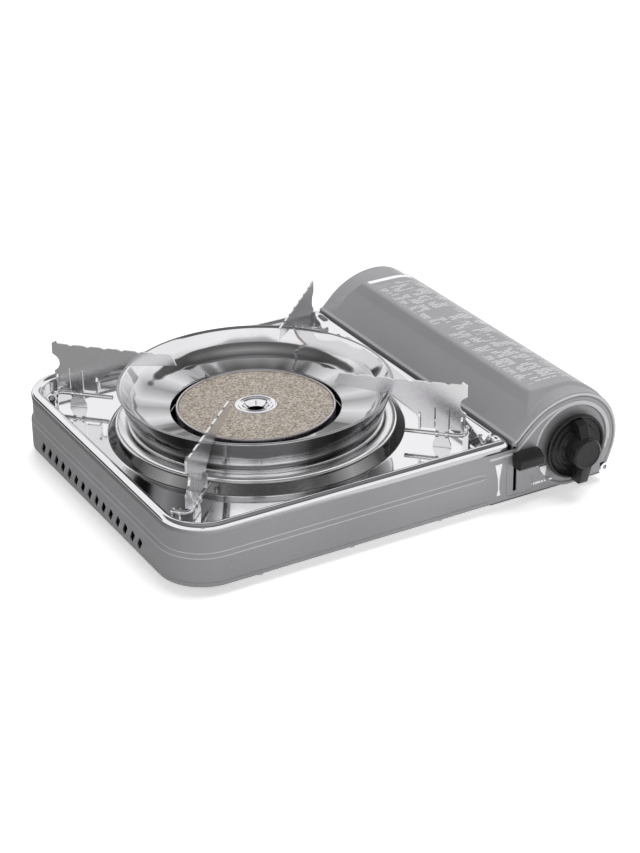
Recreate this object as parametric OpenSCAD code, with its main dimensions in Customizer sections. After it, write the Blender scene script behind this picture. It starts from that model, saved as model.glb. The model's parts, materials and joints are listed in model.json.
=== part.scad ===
// Portable gas stove for a lying cartridge: a low steel case with a recessed
// tray, a round burner in a wind dish, four hinged pan supports, and a
// cartridge bay under a hinged lid on the right.

/* [Case] */
// Overall width, from the left wall to the outside of the lid
overall_w = 345; // [335:1:352]
// Depth of the case, from the front wall to the back wall
case_d = 273; // [266:1:290]
// Radius of the two left corners
corner_r = 33.5; // [30:0.5:38]
// Height of the walls, from their lower edge up to the tray rim
wall_h = 38.9; // [38:0.1:42]
// Height of the proud lower band of the walls
band_h = 21.5; // [19:0.5:24]
// Height of the slanted step above the lower band
step_h = 3.1; // [2:0.1:4]
// How far the upper band stands back from the lower band
step_in = 1.8; // [1.2:0.1:2.4]
// End of the stepped part of the front wall to the lid's left edge
step_end_in = 21.3; // [16:0.1:27]
// Thickness of the case, tray, dish and lid sheet
sheet_t = 0.8; // [0.6:0.1:1]
// Width of the lip that the walls turn in under the bottom plate
lip_w = 6; // [5:0.5:8]
// End panels' notch at the hinge, in from the right wall
notch_in = 3; // [2:0.5:4]
// Height of that notch
notch_h = 3.4; // [3:0.1:3.8]
// Lower corner of the end panels above the hinge barrels
notch_over = 2.1; // [1:0.1:3]
// Rim of the tray to the case edge, seen from above
rim_inset = 1.4; // [1:0.1:2]

/* [Feet and screws] */
// Height of the rubber feet under the case
foot_h = 7; // [6.5:0.5:10]
// Radius of a foot
foot_r = 8; // [7:0.5:9]
// Left feet to the left wall
foot_in_x = 34; // [32:1:40]
// Feet to the front and back walls
foot_in_y = 22.5; // [20:0.5:24]
// Right feet to the side of the channel under the cartridge
foot_side = 1; // [1:0.5:4]
// Step round the bottom of a foot
foot_step = 1; // [0.5:0.5:2]
// Radius of a case screw
screw_r = 1.5; // [1.2:0.1:1.8]
// Radius of a screw's head
screw_head_r = 2.4; // [2.1:0.1:2.7]
// Height of a screw's head
screw_head_h = 1.2; // [0.8:0.1:1.6]
// Reach of a screw above the bottom plate
screw_tail = 1.4; // [1:0.1:2]
// Distance between the screws along the front and the back
screw_pitch = 70; // [60:1:80]
// Side screws to the left corners
screw_side = 20; // [10:1:40]

/* [Vents] */
// Number of vent slots in the left wall
vent_n = 15; // [8:1:15]
// Distance from one vent slot to the next
vent_pitch = 11.6; // [10:0.1:12]
// First vent slot to the front wall
vent_y = 63; // [56:1:66]
// Height of the vent slots' middle above the case edge
vent_z = 9.5; // [8:0.5:12]
// Width of a vent slot
vent_w = 3.6; // [3:0.2:5]
// Height of a vent slot
vent_h = 6; // [4:0.5:8]
// Lean of a vent slot towards the front
vent_lean = 20; // [10:1:30]

/* [Tray] */
// Width of the rolled rim
rim_w = 8.2; // [7:0.2:9]
// Height of the rolled rim
rim_h = 6.2; // [5.6:0.1:7]
// Depth of the tray floor below the top of the rim
tray_depth = 13.1; // [12:0.1:14]
// Foot of the raised boss round the burner to the tray's rim
boss_edge = 13.1; // [12.5:0.1:15]
// How much narrower the boss is at its top
boss_slope = 5.4; // [4:0.1:6]
// Height of the boss above the tray floor
boss_h = 7.4; // [6:0.1:8]
// Radius of the hole that the burner stands in
tray_hole_r = 62.3; // [61.8:0.1:66]
// Drop of the tray's right edge below the top of the rim
end_drop = 2.2; // [1.5:0.1:3]

/* [Wind dish] */
// Bead of the dish to the foot of the boss
bead_in = 6.7; // [6.2:0.1:7.5]
// Width of the bead
bead_w = 9.2; // [8:0.1:10]
// Height of the bead
bead_h = 4; // [3:0.1:5]
// How much narrower the dish rim is than the bead
dish_in = 0.8; // [0.6:0.1:3]
// Height of the dish rim above the top of the boss
dish_h = 28.1; // [25:0.1:28.2]
// Width of the inner wall, from the rim to the dish floor
dish_wall_w = 11.5; // [11:0.1:17]
// Height of the dish floor's outer edge above the boss
dish_floor_h = 11.6; // [10:0.1:13]
// Fall of the dish floor towards its opening
dish_fall = 2.5; // [1:0.1:4]
// Radius of the opening in the dish floor
dish_hole_r = 60.7; // [60:0.1:62]
// Depth of the lip round that opening
dish_lip = 2.6; // [1:0.1:4]
// Width of the folded rim
dish_rim_w = 2; // [1.8:0.1:2.4]
// Thickness of the dish sheet
dish_t = 0.4; // [0.3:0.1:0.5]

/* [Burner] */
// Radius of the ceramic plate
ceramic_r = 55.4; // [50:0.1:56]
// Thickness of the ceramic plate
ceramic_t = 9; // [7:0.5:11]
// Top of the ceramic plate above the dish opening
ceramic_rise = 0.3; // [0:0.1:1]
// Radius of the hole in the middle of the ceramic plate
ceramic_hole_r = 10.7; // [9:0.1:12]
// Width of the ring round the ceramic plate
burner_ring_w = 1.5; // [1.3:0.1:2]
// Height of that ring
burner_ring_h = 2.2; // [1.8:0.1:3]
// Top of the burner cup below the top of the plate
cup_drop = 1.2; // [1:0.1:1.6]
// Width of the cup's ledge under the plate
cup_ledge = 5; // [4:0.5:8]
// Height of the gas bowl
bowl_h = 18; // [16:0.5:20]
// Width of the ring in the middle
centre_ring_w = 4.6; // [3:0.1:6]
// Radius of the gas bowl below the plate
bowl_r = 40; // [36:1:44]
// Height of the gas bowl's underside above the bottom plate
bowl_rise = 9.4; // [8:0.2:10]
// Outer radius of the mixing tube
mix_r = 8.5; // [7:0.5:9]
// Wall of the mixing tube
mix_wall = 1; // [0.8:0.1:1.4]
// How far the mixing tube reaches into the bowl
mix_in = 2; // [1:0.5:4]
// Mouth of the mixing tube to the divider
mouth_gap = 12; // [10:1:20]
// Length of the widened mouth
mouth_len = 5; // [4:0.5:8]
// How much wider the mouth is
mouth_flare = 1.5; // [1:0.1:1.8]
// Half length of the bracket below the bowl
bracket_reach = 75; // [65:1:80]
// Width of that bracket
bracket_w = 14; // [10:1:20]
// Length of the bracket's feet
bracket_foot = 10; // [8:1:14]
// Length of the igniter along the case
igniter_len = 30; // [24:1:34]
// Width of the igniter
igniter_w = 18; // [14:1:20]
// Height of the igniter
igniter_h = 17; // [14:0.5:20]
// Igniter behind the front wall
igniter_y = 3; // [2:0.5:6]
// Igniter to the end of the stepped front wall
igniter_in = 6; // [2:0.5:10]
// Radius of the igniter's nose
nose_r = 4; // [3:0.5:4.5]
// Length of the igniter's nose
nose_len = 5; // [4:0.5:8]
// Radius of the igniter wire
wire_r = 1.1; // [0.8:0.1:1.2]
// Height of the wire above the bottom plate
wire_rise = 6; // [5:0.5:7]
// Radius of the wire's bends
wire_bend = 6; // [5:0.5:10]
// Angle of the electrode round the burner
electrode_a = 100; // [95:1:110]
// Radius of the electrode
electrode_r = 0.7; // [0.5:0.1:0.8]
// Reach of the electrode over the ceramic plate, both up and inwards
electrode_over = 3; // [2:0.5:4]
// Radius of the electrode's insulator
insulator_r = 1.5; // [1.3:0.1:1.6]
// Lower end of the insulator above the bottom plate
insulator_rise = 20; // [16:1:24]

/* [Pan supports] */
// Thickness of a support blade
blade_t = 1.6; // [1.2:0.1:2]
// Top of the blades above the tray floor
blade_h = 49.2; // [48.8:0.1:52]
// Height of the hook at the outer end of a blade
hook_h = 2.4; // [1.5:0.1:3]
// Inner tip of a blade to the burner's middle
blade_in_r = 62; // [58:1:70]
// Outer end of a blade beyond its hinge axis
blade_over = 2.2; // [1.5:0.1:3]
// Height of a blade's outer end
blade_end_h = 12; // [10:0.5:14]
// Height of a blade beside its post
blade_deep = 21; // [19:0.2:23]
// Underside of a blade above the dish rim
blade_clear = 0.9; // [0.6:0.1:1.5]
// Half width of that hook
hook_w = 2; // [1.5:0.1:2.5]
// Slant of the hook's inner side
hook_slant = 0.8; // [0.5:0.1:1.5]
// Slant of a blade's inner end
tip_slant = 3.6; // [2:0.2:5]
// Height of a blade's inner end
tip_h = 8; // [6:0.5:10]
// Radius of the anti-slip scallops
scallop_r = 3; // [2:0.5:4]
// Depth of the anti-slip scallops
scallop_depth = 1; // [0.5:0.1:1.4]
// Distance between the scallops
scallop_pitch = 13; // [11:0.5:15]
// Middle of a support's post to its hinge axis
post_in = 16.4; // [15.5:0.1:18]
// Width of the post
post_w = 8; // [7:0.5:9]
// Width of the foot at the end of the post
post_foot_w = 12; // [10:0.5:13]
// Radius of the hinge rod
rod_r = 1.5; // [1.3:0.1:1.8]
// Height of the rod above the tray floor
rod_rise = 10; // [9:0.1:11]
// Length of the rod from its inner end to the hinge axis
rod_len = 42.5; // [39:0.5:44]
// Hinge of a support to the tray's rim, straight across
support_edge = 12; // [11:0.5:13]
// Length of the rod's bent end
rod_end = 12.5; // [12:0.5:13]
// Radius of the rod's bend, at its middle line
rod_bend_r = 4; // [3.5:0.5:4.5]
// Wall of the knuckles and eyes round the rod
knuckle_wall = 1.2; // [1:0.1:1.4]
// Length of a knuckle
knuckle_len = 2.5; // [2:0.1:3]
// Thickness of the eyes on the tray
lug_t = 1.4; // [1:0.1:1.6]
// Width of the eyes on the tray
lug_w = 4; // [3:0.5:5]
// Outer eye to the end of the rod
lug_end = 0.6; // [0.4:0.1:1]
// Inner eye to the rod's bend
lug_in = 1; // [0.5:0.1:1.2]

/* [Lid] */
// Width of the lid
lid_w = 89.1; // [87:0.1:93]
// Radius of the lid's arch at its right side
arch_r = 39; // [38:0.5:42]
// Foot of the lid's left slope to its left edge
lid_flat = 2.4; // [1.5:0.1:4]
// Fullness of the left shoulder; at 1 the slope has no straight part
shoulder_full = 0.962; // [0.94:0.002:0.98]
// Height of the cartridge's middle line above the case edge
axis_h = 30.5; // [30.2:0.1:31]
// Gap between the tray and the lid
lid_gap = 0.5; // [0.4:0.1:1]
// Height of the lid's left edge above the top of the rim
lid_rise = 0.3; // [0:0.1:1]
// Depth of the lid's left edge
lid_edge = 4; // [3.6:0.1:5]
// Width of the band round the lid's two ends
lid_band = 3.2; // [2.6:0.1:3.4]
// Gap between that band and the case's end panels
panel_gap = 0.35; // [0.3:0.05:0.6]
// How much shorter the lid is than the case
lid_short = 3; // [2:0.5:5]
// Slant of the lid's lower right side
side_slant = 22; // [18:1:25]
// Left foot of the raised top's sloping side, from the lid's left edge
slope_x = 0.8; // [0.4:0.1:2]
// Height of the shoulder line, from the tray rim's lower edge
shoulder_h = 25.4; // [24:0.1:27]
// Shoulder line to the lid's left edge
shoulder_x = 18; // [16:0.5:20]
// Top edge line to the lid's left edge
top_x = 23.6; // [22:0.2:26]
// Height of the raised top above the arch
top_rise = 2.8; // [2:0.1:3.5]
// Radius of the raised top's right side
top_r = 40.6; // [39.5:0.1:42]
// Front edge of the raised top
top_y0 = 15.3; // [13:0.1:18]
// Back edge of the raised top to the lid's back end
top_y1 = 28.3; // [24:0.1:32]
// Run of the slopes at the raised top's two ends
top_run = 9.3; // [8:0.1:12]

/* [Lid hinges] */
// Hinge axis to the outside of the lid
hinge_in = 9; // [8.5:0.1:9.5]
// Height of the hinge axis above the case edge
hinge_rise = 4; // [3.8:0.1:4.5]
// Radius of a hinge pin
pin_r = 1.4; // [1.2:0.1:1.6]
// Outer radius of a hinge barrel
barrel_r = 2.9; // [2.7:0.1:3.1]
// Front end of the front hinge
hinge_y = 4; // [3:0.5:8]
// Length of each case barrel
case_barrel = 8; // [6:0.5:10]
// Length of each lid barrel
lid_barrel = 19.4; // [15:0.2:24]
// Height of the case's low right wall
right_wall_h = 6; // [5:0.5:6.5]
// Thickness of the plates that carry the case barrels
hinge_plate_t = 2.4; // [2:0.1:3]
// Reach of a hinge pin past its rear barrel
pin_over = 0.5; // [0.3:0.1:1]
// How much wider a pin's head is
pin_head = 1; // [0.8:0.1:1.2]
// Thickness of a pin's head
pin_head_t = 1.3; // [1:0.1:1.6]
// Right wall of the case to the outside of the lid
right_wall_in = 13; // [12.8:0.1:14]

/* [Cartridge bay] */
// Radius of the gas cartridge that the bay takes
can_r = 33.5; // [32:0.1:34]
// Length of the gas cartridge
can_len = 185; // [180:1:186]
// Width of the channel in the bottom plate
channel_w = 40; // [36:1:46]
// Depth of that channel
channel_drop = 4.6; // [4.2:0.1:4.8]
// Travel of the cartridge when it is pushed home
can_travel = 8; // [6:0.5:9]
// Front end of the cartridge when it is home
can_y = 44; // [44:0.5:45]
// Channel in front of the cartridge
channel_front = 2; // [1:0.5:4]
// Channel behind the push plate
channel_back = 3; // [2:0.5:4]
// Divider wall to the lever plate
divider_gap = 1.8; // [1.5:0.1:2]
// Width of the divider's foot
divider_foot = 8; // [6:0.5:10]
// Radius of the hole for the gas nozzle
divider_hole_r = 7; // [6:0.5:8]
// Push plate to the sides of the channel
push_side = 3; // [2:0.5:5]
// Heat shield to the divider
shield_gap = 4.8; // [4:0.2:6]
// Thickness of the heat shield
shield_t = 0.6; // [0.5:0.1:0.8]
// Heat shield in front of the burner's middle
shield_front = 70; // [60:1:80]
// Heat shield behind the burner's middle
shield_back = 95; // [80:1:100]
// Gap above and below the heat shield
shield_clear = 4; // [3:0.5:6]
// Radius of the heat shield's spacers
spacer_r = 3; // [2:0.5:4]
// Spacers to the ends of the heat shield
spacer_in = 10; // [8:1:20]

/* [Valve and knob] */
// Radius of the valve body
valve_r = 13; // [11:0.5:15]
// Length of the valve body
valve_len = 27; // [24:0.5:28]
// Width and thickness of the valve's flange
valve_flange = 3; // [2:0.5:4]
// Radius of the valve's outlet
outlet_r = 6.5; // [6:0.1:7]
// Valve's outlet to the left of its middle line
outlet_in = 6; // [4:0.5:8]
// Valve's outlet behind the front wall
outlet_y = 18; // [17:0.5:20]
// Radius of the gas nozzle
nozzle_r = 3.5; // [3:0.1:4]
// Radius of the nozzle's hexagon and thread
nozzle_hex_r = 5; // [4.5:0.1:5.5]
// Length of the nozzle's hexagon
nozzle_hex_len = 6; // [5:0.5:8]
// Bore of the nozzle
jet_r = 0.8; // [0.5:0.1:1]
// How far the nozzle reaches into the mixing tube's mouth
nozzle_in = 3; // [2:0.5:4]
// How far the nozzle is screwed into the valve
nozzle_seat = 5; // [4:0.5:6]
// Radius of the regulator's cap
regulator_r = 11; // [9:0.5:12]
// Reach of the regulator's cap from the valve's middle line
regulator_reach = 25; // [22:0.5:28]
// Thickness of that cap
regulator_t = 4; // [3:0.5:6]
// Step round the cap's top
regulator_step = 3; // [2:0.5:4]
// Middle of the regulator behind the valve's front
regulator_y = 15; // [14:0.5:18]
// How deep the regulator sits in the valve
regulator_seat = 5; // [4:0.5:6]
// Radius of the cartridge socket
socket_r = 18; // [15:0.5:20]
// Bore of the cartridge socket
socket_bore_r = 8; // [7:0.5:10]
// Length of the cartridge socket
socket_len = 10; // [9:0.5:12]
// Thickness of the socket's floor
socket_floor = 4; // [3:0.5:5]
// Radius of the gas inlet in that floor
inlet_r = 2; // [1.5:0.1:2.5]
// Width of the notch for the key on the cartridge's collar
key_w = 6; // [5:0.5:7]
// Depth of that notch along the socket
key_len = 5; // [4:0.5:6]
// Thickness of the socket's seal
seal_t = 2; // [1.5:0.1:2.5]
// Bore of the seal
seal_bore_r = 3.5; // [3:0.1:4]
// Radius of the valve spindle
spindle_r = 3; // [2.5:0.1:3.5]
// How deep the spindle reaches into the valve
spindle_in = 15; // [12:0.5:18]
// Room round the spindle in the front wall
spindle_room = 1.5; // [1:0.1:2]
// Radius of the knob's flange
knob_r = 24.2; // [22:0.1:25]
// Thickness of the knob's flange
knob_flange_t = 3.5; // [3:0.1:4.5]
// Gap between the knob and the front wall
knob_gap = 2.6; // [2:0.1:4]
// Reach of the knob in front of the wall
knob_reach = 20.4; // [18:0.2:23]
// Radius of the knob's hub
knob_hub_r = 10.2; // [9:0.1:12]
// Length of the knob's grip below its middle
grip_len = 24.6; // [22:0.2:26]
// Width of the knob's grip
grip_w = 8; // [6:0.5:10]
// Thickness of the hub in front of the spindle
knob_cap = 5; // [3:0.5:6]
// Rounding of the grip at the flange's edge and at its tip
grip_step = 2; // [1:0.5:3]
// Radius of the round recess behind the knob
recess_r = 29.5; // [28:0.1:30.5]
// Depth of that recess
recess_depth = 1; // [0.6:0.1:1.4]

/* [Cartridge lever] */
// Lever slot to the lid's left edge
slot_in = 2.5; // [2.3:0.1:3]
// Width of the lever slot
slot_w = 2.8; // [2.6:0.1:3]
// Thickness of the lever plate
lever_t = 1.6; // [1.4:0.1:1.8]
// Height of the arm that passes through the slot
arm_h = 3.2; // [2.8:0.1:4]
// Front edge of the lever plate, behind the front wall
lever_y = 2.5; // [2:0.5:4]
// Travel of the lever
lever_travel = 24; // [22:0.5:25]
// Height of the arm's middle above the case edge, lever up
lever_z = 32.2; // [31.5:0.1:33]
// Lever's tab to the knob
tab_side = 6.3; // [4:0.1:10]
// Height of the lever's tab
tab_h = 16; // [12:0.5:16]
// Reach of the lever's tab in front of the wall
tab_reach = 12.2; // [10:0.2:14]
// Left side of the tab to the lid's left edge
tab_left = 5.4; // [4:0.1:7]
// Top of the tab above the case walls
tab_over = 2; // [1:0.5:3]
// Gap between the tab and the front wall
tab_gap = 1.4; // [1:0.1:2]
// How deep the arm reaches into the tab, from the tab's front
tab_wall = 3; // [2:0.5:4]
// Height of the lever plate above and below the arm's middle
lever_half_h = 5.2; // [4.5:0.1:6]
// Radius of the pin that moves the carriage
cam_pin_r = 2; // [1.6:0.1:2.4]
// Cam pin to the front wall
cam_pin_y = 22; // [21:0.5:23]
// Length of the lever plate behind the cam pin
lever_back = 9; // [7:0.5:10]
// Depth of the groove that guides the lever plate
groove = 1; // [0.5:0.1:1.5]
// Thickness of the lever guide behind the lever plate
guide_wall = 2; // [1.5:0.5:3]
// Carriage strip to the lever plate, and to the bottom plate
strip_gap = 1.4; // [1.2:0.1:1.8]
// Carriage strip round the cam slot
cam_rim = 5; // [4:0.5:6]
// Thickness of the carriage strip
strip_t = 1.2; // [1:0.1:1.5]
// Height of the carriage strip
strip_h = 6; // [5:0.5:6.5]
// Length of the strip's foot under the push plate
strip_foot = 14; // [10:1:18]
// Wall of the two loops that guide the carriage strip
loop_t = 1; // [0.8:0.1:1.4]
// Length of those loops
loop_len = 10; // [8:1:14]
// Loops to the two ends of the cartridge's room
loop_in = 36; // [30:1:44]

/* [Fits] */
// Radial clearance of a pin or shaft that turns
turn_fit = 0.05; // [0.02:0.01:0.08]
// Radial gap of a piece that is pressed on
press_fit = 0.02; // [0.01:0.01:0.04]
// Gap between pieces that slide past each other
slide_gap = 0.3; // [0.25:0.05:0.4]
// Gap between pieces that are fitted beside each other
sheet_fit = 0.1; // [0.05:0.05:0.2]
// Valve and divider behind the sheet of the front wall
wall_gap = 0.4; // [0.3:0.1:1]

/* [Hidden] */
$fn = 64;
eps = 0.01;

// heights
case_z = foot_h;
step_z = case_z + band_h;
rim_z = case_z + wall_h;
rim_top = rim_z + rim_h;
tray_z = rim_top - tray_depth;
boss_z = tray_z + boss_h;
plate_z = case_z + sheet_t;
plate_top = plate_z + sheet_t;

// plan: the lid's width sets the tray, and the tray sets the dish and supports
lid_x = overall_w - lid_w;
tray_end_x = lid_x - lid_gap;
step_end_x = lid_x - step_end_in;
wall_x = overall_w - right_wall_in;
burner_x = (rim_inset + tray_end_x) / 2;
burner_y = case_d / 2;
tray_half = min(tray_end_x - rim_inset, case_d - 2 * rim_inset) / 2 - rim_w;

// dish
boss_r = tray_half - boss_edge;
bead_r = boss_r - bead_in;
dish_r = bead_r - dish_in;
dish_floor_r = dish_r - dish_wall_w;
dish_rim_z = boss_z + dish_h;
dish_hole_z = boss_z + dish_floor_h - dish_fall;

// burner
ceramic_top = dish_hole_z + ceramic_rise;
ring_in_r = ceramic_r + sheet_fit;
cup_r = ring_in_r + burner_ring_w;
cup_top = ceramic_top - cup_drop;
ledge_z = ceramic_top - ceramic_t - sheet_t;
bowl_z = plate_top + bowl_rise;
mix_z = bowl_z + bowl_h / 2;

// pan supports
support_hinge_r = (tray_half - support_edge) * sqrt(2);
blade_out_r = support_hinge_r + blade_over;
post_r = support_hinge_r - post_in;
rod_in_r = support_hinge_r - rod_len;
rod_z = tray_z + rod_rise;
blade_top = tray_z + blade_h;
knuckle_r = rod_r + knuckle_wall;

// lid: the left slope runs into the arch in a wide arc
arch_x = overall_w - arch_r;
arch_z = case_z + axis_h;
arch_top = arch_z + arch_r;
lid_top_left = rim_top + lid_rise;
lid_low_left = lid_top_left - lid_edge;
lid_y1 = case_d - lid_short;
slope_foot = [lid_x + lid_flat, lid_top_left];
slope_run = [arch_x, arch_top] - slope_foot;
shoulder_r = shoulder_full * slope_run * slope_run / (2 * slope_run[1]);
shoulder_at = [arch_x, arch_top - shoulder_r];
shoulder_foot = slope_foot - shoulder_at;
shoulder_a = atan2(shoulder_foot[1], shoulder_foot[0]) - acos(shoulder_r / norm(shoulder_foot));
top_z = arch_top + top_rise;
hinge_x = overall_w - hinge_in;
hinge_z = case_z + hinge_rise;
hinge_len = 2 * case_barrel + lid_barrel + 2 * slide_gap;

// gas
valve_y = recess_depth + sheet_t + wall_gap;
valve_back = valve_y + valve_len + valve_flange;
socket_back = valve_back + socket_len;
outlet = [arch_x - outlet_in, outlet_y];
mix_a = atan2(burner_y - outlet[1], burner_x - outlet[0]);
mix_run = norm([burner_x, burner_y] - outlet);

// lever and carriage
slot_x = lid_x + slot_in;
arm_z = case_z + lever_z;
divider_x = slot_x - lever_t / 2 - divider_gap;
divider_top = lid_low_left - slide_gap;
strip_x = slot_x + lever_t / 2 + strip_gap;
strip_z = plate_top + strip_gap;
push_y = can_y + can_len + can_travel;
lever_end_y = cam_pin_y + lever_back;
cam_top = [cam_pin_y, arm_z];
cam_low = [cam_pin_y + can_travel, arm_z - lever_travel];

// more of the gas line, and the igniter with its wire and electrode
mouth_at = (burner_x - (divider_x - mouth_gap)) / cos(mix_a);
nozzle_end = mix_run - valve_r + nozzle_seat;
igniter_x = step_end_x - igniter_in;
wire_x = igniter_x + igniter_w / 2;
wire_z = plate_top + wire_rise;
nose_end = igniter_y + igniter_len + nose_len;
electrode_at = (cup_r + dish_hole_r) / 2;
electrode_x = burner_x + electrode_at * cos(electrode_a);
electrode_y = burner_y + electrode_at * sin(electrode_a);
insulator_z = plate_top + insulator_rise;

screw_line = lip_w / 2 + wall_gap;
screw_places = concat(
    [for (i = [-1:1], y = [screw_line, case_d - screw_line]) [burner_x + i * screw_pitch, y]],
    [for (y = [corner_r + screw_side, case_d - corner_r - screw_side]) [screw_line, y]]
);
origin = [overall_w / 2, (case_d - knob_reach) / 2, 0];

// ---- outlines -------------------------------------------------------------

function unit(v) = v / norm(v);
function left_of(v) = [-v[1], v[0]];
function reversed(p) = [for (i = [len(p) - 1:-1:0]) p[i]];
function last(p) = p[len(p) - 1];

// points of an arc from angle a0 to a1; from = 1 leaves the first point out
function arc(c, r, a0, a1, n, from = 0) =
    [for (i = [from:n]) c + r * [cos(a0 + (a1 - a0) * i / n), sin(a0 + (a1 - a0) * i / n)]];

// corner b of the path a, b, c moved to the left of the path by d
function corner(a, b, c, d) =
    let(
        n = unit(left_of(unit(b - a)) + left_of(unit(c - b)))
    ) b + n * d / (n * left_of(unit(b - a)));

// a path moved to its left by d
function beside(p, d) =
    let(end = len(p) - 1)
    [for (i = [0:end])
        i == 0 ? p[0] + left_of(unit(p[1] - p[0])) * d
        : i == end ? p[end] + left_of(unit(p[end] - p[end - 1])) * d
        : corner(p[i - 1], p[i], p[i + 1], d)];

// outline of a sheet whose one face follows a path
function sheet_outline(p, t) = concat(p, reversed(beside(p, t)));

// the lid's end profile, from its left edge over the arch to the hinge side
function lid_path(end_z) =
    let(
        side_top = [arch_x, arch_z] + arch_r * [cos(side_slant), -sin(side_slant)],
        run = (side_top[1] - end_z) * tan(side_slant)
    ) concat(
        [[lid_x, lid_low_left], [lid_x, lid_top_left], slope_foot],
        arc(shoulder_at, shoulder_r, shoulder_a, 90, 10),
        arc([arch_x, arch_z], arch_r, 90, 0, 22, from = 1),
        arc([arch_x, arch_z], arch_r, 0, -side_slant, 6, from = 1),
        [[side_top[0] - run, end_z]]
    );

// the profile of the lid's raised middle
function top_path() = concat(
    [
        [lid_x + slope_x, lid_top_left - lid_edge / 2],
        [lid_x + shoulder_x, rim_z + shoulder_h],
        [lid_x + top_x, top_z]
    ],
    arc([overall_w - top_r, top_z - top_r], top_r, 90, 0, 22)
);

// the side view of the lid's raised middle
function top_side() = [
    [top_y0 - top_run, arch_top - top_run],
    [top_y0, top_z],
    [lid_y1 - top_y1, top_z],
    [lid_y1 - top_y1 + top_run, arch_top - top_run]
];

// ---- helpers --------------------------------------------------------------

// moves the stove from its corner frame to its own origin on the table
module place() {
    translate(-origin) children();
}

// extrudes an outline drawn in x and z along y
module along_y(y0, y1) {
    translate([0, y1, 0]) rotate([90, 0, 0]) linear_extrude(y1 - y0) children();
}

// extrudes an outline drawn in y and z along x
module along_x(x0, x1) {
    translate([x0, 0, 0]) rotate([90, 0, 90]) linear_extrude(x1 - x0) children();
}

module rod_y(x, z, r, y0, y1) {
    translate([x, y0, z]) rotate([-90, 0, 0]) cylinder(r = r, h = y1 - y0);
}

module rod_x(y, z, r, x0, x1) {
    translate([x0, y, z]) rotate([0, 90, 0]) cylinder(r = r, h = x1 - x0);
}

module rod_up(x, y, r, z0, z1) {
    translate([x, y, z0]) cylinder(r = r, h = z1 - z0);
}

// a quarter of a ring of round wire, from angle 0 to 90 in x and y
module elbow(bend_r, wire) {
    rotate_extrude(angle = 90) translate([bend_r, 0]) circle(wire);
}

module box(a, b) {
    translate(a) cube(b - a);
}

// runs a wall section round the front, left and back of the case; in the
// section, x points inwards from the outer face and y points up
module wall_run(inset, front_end, back_end) {
    r = corner_r - inset;
    d = case_d - 2 * inset;
    translate([inset, inset, 0]) {
        translate([r, 0, 0]) rotate([90, 0, 90]) linear_extrude(front_end - inset - r) children();
        translate([0, d - r, 0]) rotate([90, 0, 0]) linear_extrude(d - 2 * r) children();
        translate([back_end - inset, d, 0]) rotate([90, 0, -90])
            linear_extrude(back_end - inset - r) children();
        translate([r, r, 0]) rotate(180) rotate_extrude(angle = 90)
            translate([r, 0]) mirror([1, 0]) children();
        translate([r, d - r, 0]) rotate(90) rotate_extrude(angle = 90)
            translate([r, 0]) mirror([1, 0]) children();
    }
}

// floor plan of the inside of the case, set in from its walls
module floor_plan(inset, end_x) {
    r = corner_r - inset;
    translate([inset, inset + r]) square([end_x - inset, case_d - 2 * inset - 2 * r]);
    translate([inset + r, inset]) square([end_x - inset - r, case_d - 2 * inset]);
    for (y = [inset + r, case_d - inset - r])
        translate([inset + r, y]) circle(r);
}

// places a piece in a support's radial plane: children are drawn with x as
// the distance from the burner's middle; side 1 bends to the plane's left
module at_support(right, back) {
    translate([burner_x, burner_y, 0])
        mirror([right ? 0 : 1, 0, 0]) mirror([0, back ? 1 : 0, 0])
            rotate(-45) children();
}

// ---- case -----------------------------------------------------------------

// end panel of the case under the lid, between the stepped wall and the hinge
module end_panel(y0, y1, from_x) {
    gap = lid_band + panel_gap;
    rim = beside(lid_path(hinge_z + barrel_r + notch_over), -gap);
    along_y(y0, y1)
        polygon(concat(
            [[from_x, case_z], [from_x, rim_z], [lid_x + gap, rim_z]],
            [for (i = [1:len(rim) - 1]) rim[i]],
            [[wall_x - notch_in, case_z + notch_h], [wall_x - notch_in, case_z]]
        ));
}

module lower_case() {
    color("darkgray") place() {
        section = sheet_outline([
            [lip_w, case_z], [0, case_z], [0, step_z],
            [step_in, step_z + step_h], [step_in, rim_z]
        ], -sheet_t);
        recess_back = recess_depth + sheet_t;
        difference() {
            union() {
                wall_run(0, step_end_x, lid_x) polygon(section);
                end_panel(0, sheet_t, step_end_x - eps);
                end_panel(lid_y1 - sheet_t, lid_y1, lid_x - eps);
                // returns beside the two flush panels
                box([step_end_x - eps, 0, step_z], [step_end_x + sheet_t, step_in + sheet_t, rim_z]);
                box([lid_x - eps, lid_y1 - sheet_t, case_z], [lid_x + sheet_t, case_d, rim_z]);
                // lips under the bottom plate
                box([step_end_x - eps, 0, case_z], [wall_x, lip_w, plate_z]);
                box([lid_x - eps, lid_y1 - lip_w, case_z], [wall_x, lid_y1, plate_z]);
                box([wall_x - lip_w, 0, case_z], [wall_x, lid_y1, plate_z]);
                box([wall_x - sheet_t, sheet_t, case_z], [wall_x, lid_y1 - sheet_t, case_z + right_wall_h]);
                // floor of the round recess behind the knob
                rod_y(arch_x, arch_z, recess_r + sheet_t, 0, recess_back);
            }
            rod_y(arch_x, arch_z, recess_r, -1, recess_depth);
            rod_y(arch_x, arch_z, spindle_r + spindle_room, -1, recess_back + 1);
            // slot for the lever's arm
            box(
                [slot_x - slot_w / 2, -1, arm_z - lever_travel - arm_h / 2 - slide_gap],
                [slot_x + slot_w / 2, sheet_t + 1, arm_z + arm_h / 2 + slide_gap]
            );
            for (i = [0:vent_n - 1])
                translate([sheet_t / 2, vent_y + i * vent_pitch, case_z + vent_z])
                    rotate([vent_lean, 0, 0])
                        cube([3 * sheet_t, vent_w, vent_h], center = true);
            screw_holes();
        }
    }
}

module screw_holes() {
    for (p = screw_places) rod_up(p[0], p[1], screw_r + turn_fit, case_z - 1, plate_top + 1);
}

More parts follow.
